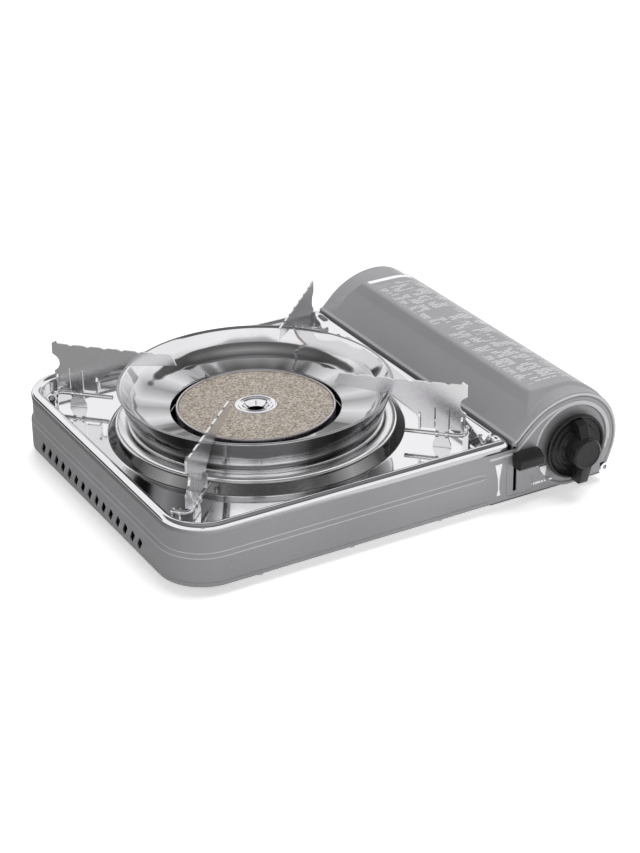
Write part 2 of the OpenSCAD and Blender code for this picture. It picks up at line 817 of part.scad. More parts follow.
module case_screws() {
    color("silver") place()
        for (p = screw_places) {
            rod_up(p[0], p[1], screw_head_r, case_z - screw_head_h, case_z);
            rod_up(p[0], p[1], screw_r, case_z - eps, plate_top + screw_tail);
        }
}

// the sunken channel that gives the cartridge room
module channel(inset) {
    box(
        [arch_x - channel_w / 2 + inset, can_y - channel_front + inset, plate_z - channel_drop + inset],
        [
            arch_x + channel_w / 2 - inset, push_y + channel_back - inset,
            plate_top + (inset > 0 ? 1 : 0)
        ]
    );
}

module bottom_plate() {
    color("gainsboro") place()
        difference() {
            union() {
                difference() {
                    translate([0, 0, plate_z]) linear_extrude(sheet_t)
                        floor_plan(sheet_t + sheet_fit, wall_x - sheet_t - sheet_fit);
                    // the back of the floor follows the set-back end panel
                    box(
                        [lid_x - sheet_fit, lid_y1 - sheet_t - sheet_fit, plate_z - 1],
                        [overall_w, case_d, plate_top + 1]
                    );
                    // its front makes room for the recess behind the knob
                    rod_y(
                        arch_x, arch_z, recess_r + sheet_t + sheet_fit,
                        0, recess_depth + sheet_t + sheet_fit
                    );
                }
                channel(0);
            }
            channel(sheet_t);
            screw_holes();
        }
}

module foot(right, back) {
    x = right ? arch_x - channel_w / 2 - foot_side - foot_r : foot_in_x;
    y = back ? case_d - foot_in_y : foot_in_y;
    color("dimgray") place() {
        rod_up(x, y, foot_r - foot_step, 0, 2 * foot_step);
        rod_up(x, y, foot_r, foot_step, plate_z);
    }
}

// ---- tray and wind dish ---------------------------------------------------

// the rolled rim and its inner wall, seen along the rim
module rim_section() {
    r = rim_w / 2;
    leg = rim_h - r;
    floor_low = tray_z - sheet_t - rim_z;
    difference() {
        union() {
            translate([r, leg]) circle(r);
            translate([0, floor_low]) square([rim_w, leg - floor_low]);
        }
        translate([r, leg]) circle(r - sheet_t);
        translate([sheet_t, floor_low - 1]) square([rim_w - 2 * sheet_t, leg - floor_low + 1]);
        translate([-1, floor_low - 1]) square([r + 1, 1 - floor_low]);
    }
}

module top_plate() {
    inner = rim_inset + rim_w - sheet_t;
    end_in = tray_end_x - rim_w + sheet_t;
    end_z = rim_top - end_drop;
    color("lightgray") place() {
        wall_run(rim_inset, tray_end_x, tray_end_x) translate([0, rim_z]) rim_section();
        // floor with the hole under the boss
        difference() {
            translate([0, 0, tray_z - sheet_t]) linear_extrude(sheet_t)
                intersection() {
                    floor_plan(inner, tray_end_x);
                    translate([0, inner - 1]) square([end_in, case_d - 2 * inner + 2]);
                }
            rod_up(burner_x, burner_y, boss_r - eps, 0, rim_top);
        }
        // raised right edge
        along_y(inner, case_d - inner)
            polygon(sheet_outline([
                [end_in - sheet_t, tray_z - sheet_t], [end_in - sheet_t, end_z],
                [tray_end_x, end_z], [tray_end_x, rim_z]
            ], -sheet_t));
        translate([burner_x, burner_y, 0]) rotate_extrude($fn = 96)
            polygon(sheet_outline([
                [boss_r, tray_z - sheet_t], [boss_r, tray_z],
                [boss_r - boss_slope, boss_z], [tray_hole_r, boss_z]
            ], sheet_t));
    }
}

module wind_dish() {
    fold = dish_rim_w / 2;
    wall_in = dish_r - dish_rim_w;
    color("whitesmoke") place()
        translate([burner_x, burner_y, 0]) rotate_extrude($fn = 96)
            polygon(sheet_outline(concat(
                [[bead_r, boss_z]],
                arc([bead_r - bead_w / 2, boss_z + dish_t], bead_w / 2, 10, 130, 6),
                [
                    [bead_r - bead_w, boss_z + bead_h],
                    [dish_r - fold, dish_rim_z - 1.6 * fold],
                    [dish_r, dish_rim_z - 0.8 * fold],
                    [dish_r - fold / 2, dish_rim_z],
                    [wall_in, dish_rim_z],
                    [wall_in - fold, dish_rim_z - 1.4 * fold],
                    [dish_floor_r, boss_z + dish_floor_h],
                    [dish_hole_r, dish_hole_z],
                    [dish_hole_r, dish_hole_z - dish_lip]
                ]
            ), dish_t));
}

// ---- burner ---------------------------------------------------------------

module burner_cup() {
    color("silver") place() translate([burner_x, burner_y, 0])
        difference() {
            rotate_extrude($fn = 96) polygon(sheet_outline([
                [cup_r, cup_top], [cup_r, ledge_z], [cup_r - cup_ledge, ledge_z],
                [bowl_r, bowl_z + bowl_h], [bowl_r, bowl_z], [0, bowl_z]
            ], -sheet_t));
            translate([0, 0, mix_z]) rotate([90, 0, mix_a - 90])
                cylinder(r = mix_r + turn_fit, h = bowl_r + 1);
        }
}

module burner_ceramic() {
    color("tan") place() translate([burner_x, burner_y, ceramic_top - ceramic_t])
        difference() {
            cylinder(r = ceramic_r, h = ceramic_t, $fn = 96);
            translate([0, 0, -1]) cylinder(r = ceramic_hole_r, h = ceramic_t + 2);
        }
}

module burner_outer_ring() {
    color("white") place() translate([burner_x, burner_y, cup_top])
        difference() {
            cylinder(r = cup_r, h = burner_ring_h, $fn = 96);
            translate([0, 0, -1]) cylinder(r = ring_in_r, h = burner_ring_h + 2, $fn = 96);
        }
}

module burner_centre_ring() {
    bore = ceramic_hole_r - 2 * sheet_t;
    color("lightgray") place() translate([burner_x, burner_y, ceramic_top])
        difference() {
            union() {
                cylinder(r = ceramic_hole_r + centre_ring_w, h = sheet_t);
                translate([0, 0, -ceramic_t]) cylinder(r = ceramic_hole_r - turn_fit, h = ceramic_t + eps);
            }
            translate([0, 0, -ceramic_t - 1]) cylinder(r = bore, h = ceramic_t + sheet_t + 2);
        }
}

module burner_bracket() {
    top = bowl_z - sheet_t;
    color("silver") place() translate([burner_x, burner_y, 0])
        along_y(-bracket_w / 2, bracket_w / 2)
            polygon(sheet_outline([
                [-bracket_reach - bracket_foot, plate_top], [-bracket_reach, plate_top],
                [-bracket_reach, top], [bracket_reach, top],
                [bracket_reach, plate_top], [bracket_reach + bracket_foot, plate_top]
            ], sheet_t));
}

// the gas line is drawn along z from the burner's middle towards the valve
module mix_line() {
    translate([burner_x, burner_y, mix_z]) rotate(mix_a + 180) rotate([0, 90, 0]) children();
}

module mixing_tube() {
    start = bowl_r - mix_in;
    color("silver") place() mix_line() difference() {
        union() {
            rod_up(0, 0, mix_r, start, mouth_at);
            translate([0, 0, mouth_at - mouth_len])
                cylinder(r1 = mix_r, r2 = mix_r + mouth_flare, h = mouth_len);
        }
        rod_up(0, 0, mix_r - mix_wall, start - 1, mouth_at + 1);
    }
}

module gas_nozzle() {
    color("goldenrod") place() mix_line() difference() {
        union() {
            rod_up(0, 0, nozzle_r, mouth_at - nozzle_in, nozzle_end - eps);
            translate([0, 0, nozzle_end - nozzle_seat - nozzle_hex_len])
                cylinder(r = nozzle_hex_r, h = nozzle_hex_len, $fn = 6);
            rod_up(0, 0, nozzle_hex_r, nozzle_end - nozzle_seat - eps, nozzle_end);
        }
        rod_up(0, 0, jet_r, mouth_at - nozzle_in - 1, nozzle_end + 1);
    }
}

module igniter_body() {
    color("black") place() {
        box(
            [igniter_x, igniter_y, plate_top],
            [igniter_x + igniter_w, igniter_y + igniter_len, plate_top + igniter_h]
        );
        rod_y(wire_x, wire_z, nose_r, igniter_y + igniter_len - eps, nose_end);
    }
}

module igniter_wire() {
    color("black") place() {
        rod_y(wire_x, wire_z, wire_r, nose_end, electrode_y - wire_bend);
        translate([wire_x - wire_bend, electrode_y - wire_bend, wire_z]) elbow(wire_bend, wire_r);
        rod_x(electrode_y, wire_z, wire_r, electrode_x + wire_bend, wire_x - wire_bend);
        translate([electrode_x + wire_bend, electrode_y, wire_z + wire_bend])
            rotate([90, 0, 0]) rotate(180) elbow(wire_bend, wire_r);
        rod_up(electrode_x, electrode_y, wire_r, wire_z + wire_bend, insulator_z);
    }
}

module electrode_insulator() {
    floor_t = 1;
    color("white") place() difference() {
        rod_up(electrode_x, electrode_y, insulator_r, insulator_z, cup_top);
        rod_up(electrode_x, electrode_y, electrode_r + turn_fit, insulator_z + floor_t, cup_top + 1);
    }
}

// a wire that stands in the insulator and points over the burner
module electrode() {
    tip_z = ceramic_top + electrode_over;
    color("silver") place() {
        rod_up(electrode_x, electrode_y, electrode_r, insulator_z + 2, tip_z);
        translate([electrode_x, electrode_y, tip_z]) {
            sphere(electrode_r + 0.2, $fn = 24);
            rotate(electrode_a) rotate([0, -90, 0]) cylinder(r = electrode_r, h = electrode_over + 1);
        }
    }
}

// ---- valve and knob -------------------------------------------------------

module valve_body() {
    color("silver") place() difference() {
        union() {
            rod_y(arch_x, arch_z, valve_r + valve_flange, valve_y, valve_y + valve_flange);
            rod_y(arch_x, arch_z, valve_r, valve_y, valve_back);
            intersection() {
                mix_line() rod_up(0, 0, outlet_r, mix_run - valve_r, mix_run + outlet_in);
                box([0, valve_y, 0], [arch_x, valve_back, rim_top]);
            }
        }
        rod_y(arch_x, arch_z, spindle_r + turn_fit, 0, valve_y + spindle_in + slide_gap);
        mix_line() rod_up(0, 0, nozzle_hex_r + turn_fit, 0, nozzle_end);
    }
}

module regulator_cap() {
    y = valve_y + regulator_y;
    from_x = arch_x + valve_r - regulator_seat;
    to_x = arch_x + regulator_reach;
    color("gold") place() difference() {
        union() {
            rod_x(y, arch_z, regulator_r, from_x, to_x - regulator_t);
            rod_x(y, arch_z, regulator_r - regulator_step, from_x, to_x);
        }
        rod_y(arch_x, arch_z, valve_r + eps, 0, socket_back);
    }
}

module valve_spindle() {
    color("silver") place()
        rod_y(arch_x, arch_z, spindle_r, -knob_reach + knob_cap, valve_y + spindle_in);
}

module knob() {
    back = -knob_gap - knob_flange_t / 2;
    low = arch_z - grip_len;
    color("black") place() difference() {
        union() {
            rod_y(arch_x, arch_z, knob_r, -knob_gap - knob_flange_t, -knob_gap);
            rod_y(arch_x, arch_z, knob_hub_r, -knob_reach, -knob_gap);
            // grip, lower at its tip
            along_x(arch_x - grip_w / 2, arch_x + grip_w / 2)
                polygon([
                    [back, arch_z], [back, arch_z - knob_r + grip_step],
                    [-knob_gap - knob_flange_t - grip_step, low],
                    [-knob_reach + knob_cap, low], [-knob_reach, arch_z]
                ]);
        }
        rod_y(arch_x, arch_z, spindle_r + press_fit, -knob_reach + knob_cap, 0);
    }
}

module cartridge_socket() {
    floor_y = valve_back + socket_floor;
    color("gray") place() difference() {
        rod_y(arch_x, arch_z, socket_r, valve_back, socket_back);
        rod_y(arch_x, arch_z, socket_bore_r, floor_y, socket_back + 1);
        rod_y(arch_x, arch_z, inlet_r, valve_back - 1, floor_y + 1);
        // notch that takes the key on the cartridge's collar
        box(
            [arch_x - key_w / 2, socket_back - key_len, arch_z + socket_bore_r - 1],
            [arch_x + key_w / 2, socket_back + 1, arch_z + socket_r + 1]
        );
    }
}

module socket_seal() {
    y = valve_back + socket_floor;
    color("black") place() difference() {
        rod_y(arch_x, arch_z, socket_bore_r - turn_fit, y, y + seal_t);
        rod_y(arch_x, arch_z, seal_bore_r, y - 1, y + seal_t + 1);
    }
}

// ---- cartridge bay --------------------------------------------------------

module divider() {
    ends = [sheet_t + wall_gap, lid_y1 - sheet_t - wall_gap];
    color("silver") place() difference() {
        union() {
            box([divider_x, ends[0], plate_top], [divider_x + sheet_t, ends[1], divider_top]);
            box([divider_x - divider_foot, ends[0], plate_top], [divider_x + eps, ends[1], plate_top + sheet_t]);
        }
        mix_line() rod_up(0, 0, divider_hole_r, 0, mix_run);
    }
}

module heat_shield() {
    y0 = burner_y - shield_front;
    y1 = burner_y + shield_back;
    face_x = divider_x - shield_gap;
    color("lightgray") place() {
        box([face_x - shield_t, y0, plate_top + shield_clear], [face_x, y1, tray_z - shield_clear]);
        for (y = [y0 + spacer_in, y1 - spacer_in])
            rod_x(y, (plate_top + tray_z) / 2, spacer_r, face_x - eps, divider_x);
    }
}

// guide groove for the back edge of the lever plate
module lever_guide() {
    half = lever_t / 2;
    color("silver") place() difference() {
        box(
            [divider_x + sheet_t, lever_end_y - groove, plate_top],
            [slot_x + half + strip_gap - wall_gap, lever_end_y + guide_wall, divider_top - sheet_t]
        );
        box(
            [slot_x - half - slide_gap, cam_pin_y, plate_top + sheet_t],
            [slot_x + half + slide_gap, lever_end_y + slide_gap, divider_top]
        );
    }
}

// the arm that passes through the slot, from inside the tab to the lever plate
module lever_arm(to_y) {
    half = lever_t / 2;
    box(
        [slot_x - half, -tab_reach + tab_wall, arm_z - arm_h / 2],
        [slot_x + half, to_y, arm_z + arm_h / 2]
    );
}

module lever_slide() {
    half = lever_t / 2;
    color("silver") place() {
        lever_arm(lever_y + 1);
        box(
            [slot_x - half, lever_y, arm_z - lever_half_h],
            [slot_x + half, lever_end_y, arm_z + lever_half_h]
        );
        rod_x(cam_pin_y, arm_z, cam_pin_r, slot_x, strip_x + strip_t + 1);
    }
}

module lever_tab() {
    x0 = lid_x - tab_left;
    x1 = arch_x - knob_r - tab_side;
    z0 = rim_z + tab_over - tab_h;
    color("black") place() difference() {
        along_x(x0, x1)
            polygon([
                [-tab_gap, z0], [-tab_gap, z0 + tab_h], [-tab_reach * 0.66, z0 + tab_h],
                [-tab_reach, z0 + tab_h * 0.7], [-tab_reach, z0 + tab_over],
                [-tab_reach + tab_over, z0]
            ]);
        lever_arm(0);
    }
}

module cam_slot(r) {
    run = cam_low - cam_top;
    for (p = [cam_top, cam_low]) rod_x(p[0], p[1], r, strip_x - 1, strip_x + strip_t + 1);
    translate([strip_x - 1, cam_top[0], cam_top[1]])
        rotate([atan2(run[1], run[0]), 0, 0])
            translate([0, 0, -r]) cube([strip_t + 2, norm(run), 2 * r]);
}

module carriage_strip() {
    rim = cam_pin_r + cam_rim;
    color("lightsteelblue") place() difference() {
        union() {
            box([strip_x, cam_pin_y - rim, strip_z], [strip_x + strip_t, cam_low[0] + rim, arm_z + rim]);
            box([strip_x, cam_low[0], strip_z], [strip_x + strip_t, push_y, strip_z + strip_h]);
            box([strip_x, push_y - strip_t, strip_z], [strip_x + strip_foot, push_y, strip_z + strip_h]);
        }
        cam_slot(cam_pin_r + slide_gap);
    }
}

module push_plate() {
    half = channel_w / 2 - push_side;
    color("lightsteelblue") place() {
        box([strip_x, push_y, strip_z], [arch_x, push_y + strip_t, strip_z + 4 * strip_h]);
        box([arch_x - half, push_y, strip_z], [arch_x + half, push_y + strip_t, arch_z + can_r / 2]);
    }
}

module carriage_guides() {
    side = strip_x + strip_t + slide_gap;
    top = strip_z + strip_h + slide_gap;
    color("silver") place()
        for (y = [can_y + loop_in, push_y - loop_in - loop_len])
            difference() {
                box([divider_x + sheet_t, y, plate_top], [side + loop_t, y + loop_len, top + loop_t]);
                box([strip_x - slide_gap, y - 1, strip_z - slide_gap], [side, y + loop_len + 1, top]);
            }
}

// ---- lid and hinges -------------------------------------------------------

function hinge_start(back) = back ? lid_y1 - hinge_y - hinge_len : hinge_y;

// solid below the lid's outer skin; with an inset it goes down to the table,
// so that taking it away leaves the sheet
module lid_body(inset) {
    edge = beside(lid_path(hinge_z), -inset);
    foot = 2 * lid_band;
    under = inset > 0
        ? [[last(edge)[0], 0], [edge[0][0], 0]]
        : [[last(edge)[0] - foot, hinge_z], [lid_x + foot, lid_low_left]];
    side = beside(top_side(), -inset);
    along_y(inset, lid_y1 - inset)
        polygon(concat(edge, under));
    intersection() {
        along_y(0, lid_y1)
            polygon(concat(beside(top_path(), -inset), [[arch_x, arch_z]]));
        along_x(0, overall_w + 1)
            polygon(concat(side, [[side[3][0], case_z], [side[0][0], case_z]]));
    }
}

module lid() {
    edge = beside(lid_path(hinge_z), -lid_band);
    pin_room = pin_head_t + 2 * slide_gap;
    color("darkgray") place()
        difference() {
            union() {
                difference() {
                    lid_body(0);
                    lid_body(sheet_t);
                    // the ends are open inside their bands
                    along_y(-1, lid_y1 + 1)
                        polygon(concat(edge, [[last(edge)[0], 0], [edge[0][0], 0]]));
                    // room for the case barrels and the ends of the pins
                    for (back = [false, true], y = case_barrels(back))
                        rod_y(
                            hinge_x, hinge_z, barrel_r + 2 * slide_gap,
                            y - pin_room, y + case_barrel + pin_room
                        );
                }
                for (back = [false, true])
                    rod_y(hinge_x, hinge_z, barrel_r, lid_barrel_y(back), lid_barrel_y(back) + lid_barrel);
            }
            for (back = [false, true])
                rod_y(
                    hinge_x, hinge_z, pin_r + turn_fit,
                    lid_barrel_y(back) - 1, lid_barrel_y(back) + lid_barrel + 1
                );
        }
}

// where the barrels of a hinge start
function lid_barrel_y(back) = hinge_start(back) + case_barrel + slide_gap;
function case_barrels(back) = [hinge_start(back), lid_barrel_y(back) + lid_barrel + slide_gap];

module hinge_bracket(back) {
    half = hinge_plate_t / 2;
    color("silver") place()
        for (y = case_barrels(back))
            difference() {
                union() {
                    rod_y(hinge_x, hinge_z, barrel_r, y, y + case_barrel);
                    box([wall_x, y, hinge_z - half], [hinge_x, y + case_barrel, hinge_z + half]);
                }
                rod_y(hinge_x, hinge_z, pin_r + turn_fit, y - 1, y + case_barrel + 1);
            }
}

module hinge_pin(back) {
    start = hinge_start(back) - slide_gap;
    color("white") place() {
        rod_y(hinge_x, hinge_z, pin_r, start - eps, hinge_start(back) + hinge_len + pin_over);
        rod_y(hinge_x, hinge_z, pin_r + pin_head, start - pin_head_t, start);
    }
}

// ---- pan supports ---------------------------------------------------------

module support_blade(right, back) {
    post = post_w / 2;
    foot = post_foot_w / 2;
    foot_z = tray_z + slide_gap;
    end_r = blade_out_r - 2 * hook_w;
    color("lightsteelblue") place() at_support(right, back)
        difference() {
            union() {
                along_y(-blade_t / 2, blade_t / 2) difference() {
                    polygon([
                        [blade_in_r - tip_slant, blade_top - tip_h], [blade_in_r, blade_top],
                        [end_r - hook_slant, blade_top], [end_r, blade_top + hook_h],
                        [blade_out_r, blade_top], [blade_out_r, blade_top - blade_end_h],
                        [end_r - 1, blade_top - blade_end_h - 5.6],
                        [end_r, blade_top - blade_deep - 1],
                        [post_r + post, blade_top - blade_deep], [post_r + post, rod_z - knuckle_r],
                        [post_r + foot, foot_z + blade_t / 2], [post_r + foot, foot_z],
                        [post_r - foot, foot_z], [post_r - foot, foot_z + blade_t / 2],
                        [post_r - post, rod_z - knuckle_r], [post_r - post, blade_top - blade_deep],
                        [dish_r + 2, dish_rim_z + blade_clear]
                    ]);
                    for (r = [blade_in_r + 12:scallop_pitch:blade_out_r - 10])
                        translate([r, blade_top + scallop_r - scallop_depth]) circle(scallop_r);
                }
                // knuckles wrapped round the rod
                for (r = [post_r - post, post_r + post - knuckle_len])
                    rod_x(0, rod_z, knuckle_r, r, r + knuckle_len);
            }
            rod_x(0, rod_z, rod_r + turn_fit, rod_in_r, support_hinge_r);
        }
}

module support_rod(right, back) {
    bend_at = support_hinge_r - rod_bend_r;
    color("silver") place() at_support(right, back) {
        rod_x(0, rod_z, rod_r, rod_in_r, bend_at);
        translate([bend_at, rod_bend_r, rod_z]) rotate(-90) elbow(rod_bend_r, rod_r);
        rod_y(support_hinge_r, rod_z, rod_r, rod_bend_r, rod_end);
    }
}

// eyes on the tray floor that carry the bent ends of the rods
module support_lugs() {
    color("silver") place()
        for (right = [false, true], back = [false, true], y = [rod_bend_r + lug_in, rod_end - lug_t - lug_end])
            at_support(right, back)
                difference() {
                    union() {
                        rod_y(support_hinge_r, rod_z, knuckle_r, y, y + lug_t);
                        box(
                            [support_hinge_r - lug_w / 2, y, tray_z],
                            [support_hinge_r + lug_w / 2, y + lug_t, rod_z]
                        );
                    }
                    rod_y(support_hinge_r, rod_z, rod_r + turn_fit, y - 1, y + lug_t + 1);
                }
}

lower_case();
bottom_plate();
case_screws();
foot(false, false);  // foot_front_left
foot(true, false);  // foot_front_right
foot(false, true);  // foot_rear_left
foot(true, true);  // foot_rear_right
top_plate();
wind_dish();
burner_cup();
burner_ceramic();
burner_outer_ring();
burner_centre_ring();
burner_bracket();
mixing_tube();
gas_nozzle();
valve_body();
regulator_cap();
valve_spindle();
knob();
cartridge_socket();
socket_seal();
divider();
heat_shield();
lever_slide();
lever_tab();
lever_guide();
carriage_strip();
push_plate();
carriage_guides();
igniter_body();
igniter_wire();
electrode();
electrode_insulator();
lid();
hinge_bracket(false);  // hinge_bracket_front
hinge_bracket(true);  // hinge_bracket_rear
hinge_pin(false);  // hinge_pin_front
hinge_pin(true);  // hinge_pin_rear
support_lugs();
support_blade(false, false);  // support_blade_front_left
support_blade(true, false);  // support_blade_front_right
support_blade(false, true);  // support_blade_rear_left
support_blade(true, true);  // support_blade_rear_right
support_rod(false, false);  // support_rod_front_left
support_rod(true, false);  // support_rod_front_right
support_rod(false, true);  // support_rod_rear_left
support_rod(true, true);  // support_rod_rear_right
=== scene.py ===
import json
import math
import bpy
import bmesh
from mathutils import Matrix, Vector


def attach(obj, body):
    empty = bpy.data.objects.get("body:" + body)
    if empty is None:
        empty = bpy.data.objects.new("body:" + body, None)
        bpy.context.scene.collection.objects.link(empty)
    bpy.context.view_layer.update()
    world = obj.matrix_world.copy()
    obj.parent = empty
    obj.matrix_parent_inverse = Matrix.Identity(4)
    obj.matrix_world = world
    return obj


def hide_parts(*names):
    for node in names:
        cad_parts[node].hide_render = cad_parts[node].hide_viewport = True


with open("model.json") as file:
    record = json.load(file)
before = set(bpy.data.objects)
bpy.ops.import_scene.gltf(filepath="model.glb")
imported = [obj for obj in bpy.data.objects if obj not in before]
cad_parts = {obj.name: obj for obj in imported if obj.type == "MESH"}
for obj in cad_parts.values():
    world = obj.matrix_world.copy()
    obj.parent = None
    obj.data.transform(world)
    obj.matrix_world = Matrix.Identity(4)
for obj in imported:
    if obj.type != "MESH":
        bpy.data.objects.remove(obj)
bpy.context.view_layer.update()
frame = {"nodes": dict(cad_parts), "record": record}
print('frame loaded')

camera = {
    'place': (-0.66431, -1.18671, 0.71679),
    'turn': (63.24788, 0.78039, -29.71375),  # degrees about x, y and z
    'lens': 118.64, 'sensor': 36, 'nearest': 0.01,
}
bpy.ops.object.camera_add(location=camera['place'], rotation=[math.radians(a) for a in camera['turn']])
shot = bpy.context.object
shot.name = 'shot'
shot.data.lens = camera['lens']
shot.data.sensor_width = camera['sensor']
shot.data.sensor_fit = 'HORIZONTAL'
shot.data.clip_start = camera['nearest']
bpy.context.scene.camera = shot
bpy.context.scene.view_settings.view_transform = 'Standard'


def addNode(tree, kind, **settings):
    node = tree.nodes.new(kind)
    for name, value in settings.items():
        setattr(node, name, value)
    return node


def ramp(tree, source, stops):
    # a colour, or a grey given as one number, for each stop of a value
    node = addNode(tree, 'ShaderNodeValToRGB')
    while len(node.color_ramp.elements) < len(stops):
        node.color_ramp.elements.new(0.5)
    for element, (position, color) in zip(node.color_ramp.elements, stops):
        element.position = position
        element.color = (color, color, color, 1) if isinstance(color, (int, float)) else (*color, 1)
    tree.links.new(source, node.inputs['Fac'])
    return node.outputs['Color']


def seenRays(tree):
    # 1 for what the camera sees, also in metal and through glass
    path = addNode(tree, 'ShaderNodeLightPath')
    seen = path.outputs['Is Camera Ray']
    for ray in ('Is Glossy Ray', 'Is Transmission Ray'):
        both = addNode(tree, 'ShaderNodeMath', operation='ADD', use_clamp=True)
        tree.links.new(seen, both.inputs[0])
        tree.links.new(path.outputs[ray], both.inputs[1])
        seen = both.outputs[0]
    return seen


def splitShader(tree, lighting, shown):
    # one shader lights the stove, the other is what is seen
    pick = addNode(tree, 'ShaderNodeMixShader')
    tree.links.new(seenRays(tree), pick.inputs[0])
    tree.links.new(lighting.outputs[0], pick.inputs[1])
    tree.links.new(shown.outputs[0], pick.inputs[2])
    return pick.outputs[0]


def distanceOut(tree):
    # how far a place lies from the middle of its object
    place = addNode(tree, 'ShaderNodeTexCoord')
    length = addNode(tree, 'ShaderNodeVectorMath', operation='LENGTH')
    tree.links.new(place.outputs['Object'], length.inputs[0])
    return length.outputs['Value']


studio = {
    'sky': 0.36,  # soft light from all round
    'floorSize': 9.0, 'floorTone': 0.9, 'floorRoughness': 0.9, 'floorGloss': 0.1,
    # distance in m and how much the floor is lifted there, so that it fades into the white room
    'floorLift': [(0.0, 0.42), (0.9, 0.42), (2.4, 0.8), (4.0, 1.0)],
    'aim': (0, 0, 0.03),  # where all lamps point
    # name, place, width, height, power
    'lamps': [
        ('topLamp', (0.5, 0.2, 1.7), 1.9, 1.5, 35),
        ('leftLamp', (-1.7, -0.6, 1.1), 1.0, 1.4, 3.5),
        ('frontLamp', (-0.1, -1.9, 0.7), 1.4, 0.8, 7),
    ],
    'boardSides': 64,
    # boards that only reflections show: name, place, turn in degrees, radii, tones from middle to edge
    'boards': [
        ('ceilingBoard', (0.05, 0.0, 1.25), (0, 0, 0), (1.45, 1.45),
         [(0.0, 0.38), (0.2, 0.28), (0.5, 0.16), (0.85, 0.12), (1.0, 0.55)]),
        ('floorBoard', (-0.38, 0.28, 0.0006), (0, 0, 0), (0.62, 0.62),
         [(0.0, 0.25), (0.5, 0.32), (0.85, 0.75), (1.0, 1.0)]),
        ('backLeftBoard', (-1.3, 1.75, 0.32), (90, 0, 36.6), (0.8, 0.4), [(0.0, 0.03), (0.8, 0.06), (1.0, 0.5)]),
        ('backRightBoard', (1.0, 1.73, 0.42), (90, 0, -30), (1.2, 0.34), [(0.0, 0.3), (0.7, 0.4), (1.0, 0.9)]),
        ('cameraBoard', (-1.0, -1.75, 1.28), (57.5, 0, -29.7), (0.2, 0.2), [(0.0, 0.05), (0.7, 0.1), (1.0, 0.5)]),
    ],
}
world = bpy.data.worlds.new('studioWorld')
bpy.context.scene.world = world
world.use_nodes = True
tree = world.node_tree
tree.nodes.clear()
softSky = addNode(tree, 'ShaderNodeBackground')
softSky.inputs['Color'].default_value = (1, 1, 1, 1)
softSky.inputs['Strength'].default_value = studio['sky']
whiteSky = addNode(tree, 'ShaderNodeBackground')
whiteSky.inputs['Color'].default_value = (1, 1, 1, 1)
end = addNode(tree, 'ShaderNodeOutputWorld')
tree.links.new(splitShader(tree, softSky, whiteSky), end.inputs['Surface'])

for name, place, width, height, power in studio['lamps']:
    bpy.ops.object.light_add(type='AREA', location=place)
    lamp = bpy.context.object
    lamp.name = name
    lamp.rotation_euler = (Vector(studio['aim']) - Vector(place)).to_track_quat('-Z', 'Y').to_euler()
    lamp.data.shape = 'RECTANGLE'
    lamp.data.size = width
    lamp.data.size_y = height
    lamp.data.energy = power
    lamp.visible_glossy = False  # the metal mirrors the boards and the white room instead

bpy.ops.mesh.primitive_plane_add(size=studio['floorSize'], location=(0, 0, 0))
floor = bpy.context.object
floor.name = 'floor'
paper = bpy.data.materials.new('studioPaper')
paper.use_nodes = True
tree = paper.node_tree
shader = tree.nodes['Principled BSDF']
shader.inputs['Base Color'].default_value = (studio['floorTone'], studio['floorTone'], studio['floorTone'], 1)
shader.inputs['Roughness'].default_value = studio['floorRoughness']
shader.inputs['Specular IOR Level'].default_value = studio['floorGloss']
share = addNode(tree, 'ShaderNodeMath', operation='DIVIDE')
share.inputs[1].default_value = studio['floorSize']
tree.links.new(distanceOut(tree), share.inputs[0])
stops = [(distance / studio['floorSize'], level) for distance, level in studio['floorLift']]
lift = addNode(tree, 'ShaderNodeEmission')
tree.links.new(ramp(tree, share.outputs[0], stops), lift.inputs['Color'])
none = addNode(tree, 'ShaderNodeEmission')
none.inputs['Strength'].default_value = 0
total = addNode(tree, 'ShaderNodeAddShader')
tree.links.new(shader.outputs[0], total.inputs[0])
tree.links.new(splitShader(tree, none, lift), total.inputs[1])
tree.links.new(total.outputs[0], tree.nodes['Material Output'].inputs['Surface'])
floor.data.materials.append(paper)

for name, place, turn, radii, tones in studio['boards']:
    bpy.ops.mesh.primitive_circle_add(
        vertices=studio['boardSides'], radius=1, fill_type='NGON', location=place,
        rotation=[math.radians(a) for a in turn])
    board = bpy.context.object
    board.scale = (*radii, 1)
    board.name = name
    for ray in ('camera', 'diffuse', 'transmission', 'volume_scatter', 'shadow'):
        setattr(board, 'visible_' + ray, False)
    cloth = bpy.data.materials.new(name + 'Cloth')
    cloth.use_nodes = True
    tree = cloth.node_tree
    tree.nodes.clear()
    glow = addNode(tree, 'ShaderNodeEmission')
    end = addNode(tree, 'ShaderNodeOutputMaterial')
    tree.links.new(ramp(tree, distanceOut(tree), tones), glow.inputs['Color'])
    tree.links.new(glow.outputs[0], end.inputs['Surface'])
    board.data.materials.append(cloth)
print('camera, lamps and floor set')

origin = (172.5, 126.3)  # the stove's own origin, seen from the case's front left corner, in mm
burner = (128.4, 136.5)  # the burner's middle, seen from the same corner
mergeGap = 0.00001       # points closer than this, in m, become one


def mm(x, y, z):
    # a place in millimetres from the case's front left corner and the table
    return Vector(((x - origin[0]) / 1000, (y - origin[1]) / 1000, z / 1000))


def deselect():
    if bpy.context.mode != 'OBJECT':
        bpy.ops.object.mode_set(mode='OBJECT')
    bpy.ops.object.select_all(action='DESELECT')


def pickUp(piece):
    deselect()
    piece.select_set(True)
    bpy.context.view_layer.objects.active = piece


def settle(piece):
    # puts the piece's place into its mesh
    pickUp(piece)
    bpy.ops.object.transform_apply(location=True, rotation=True, scale=True)


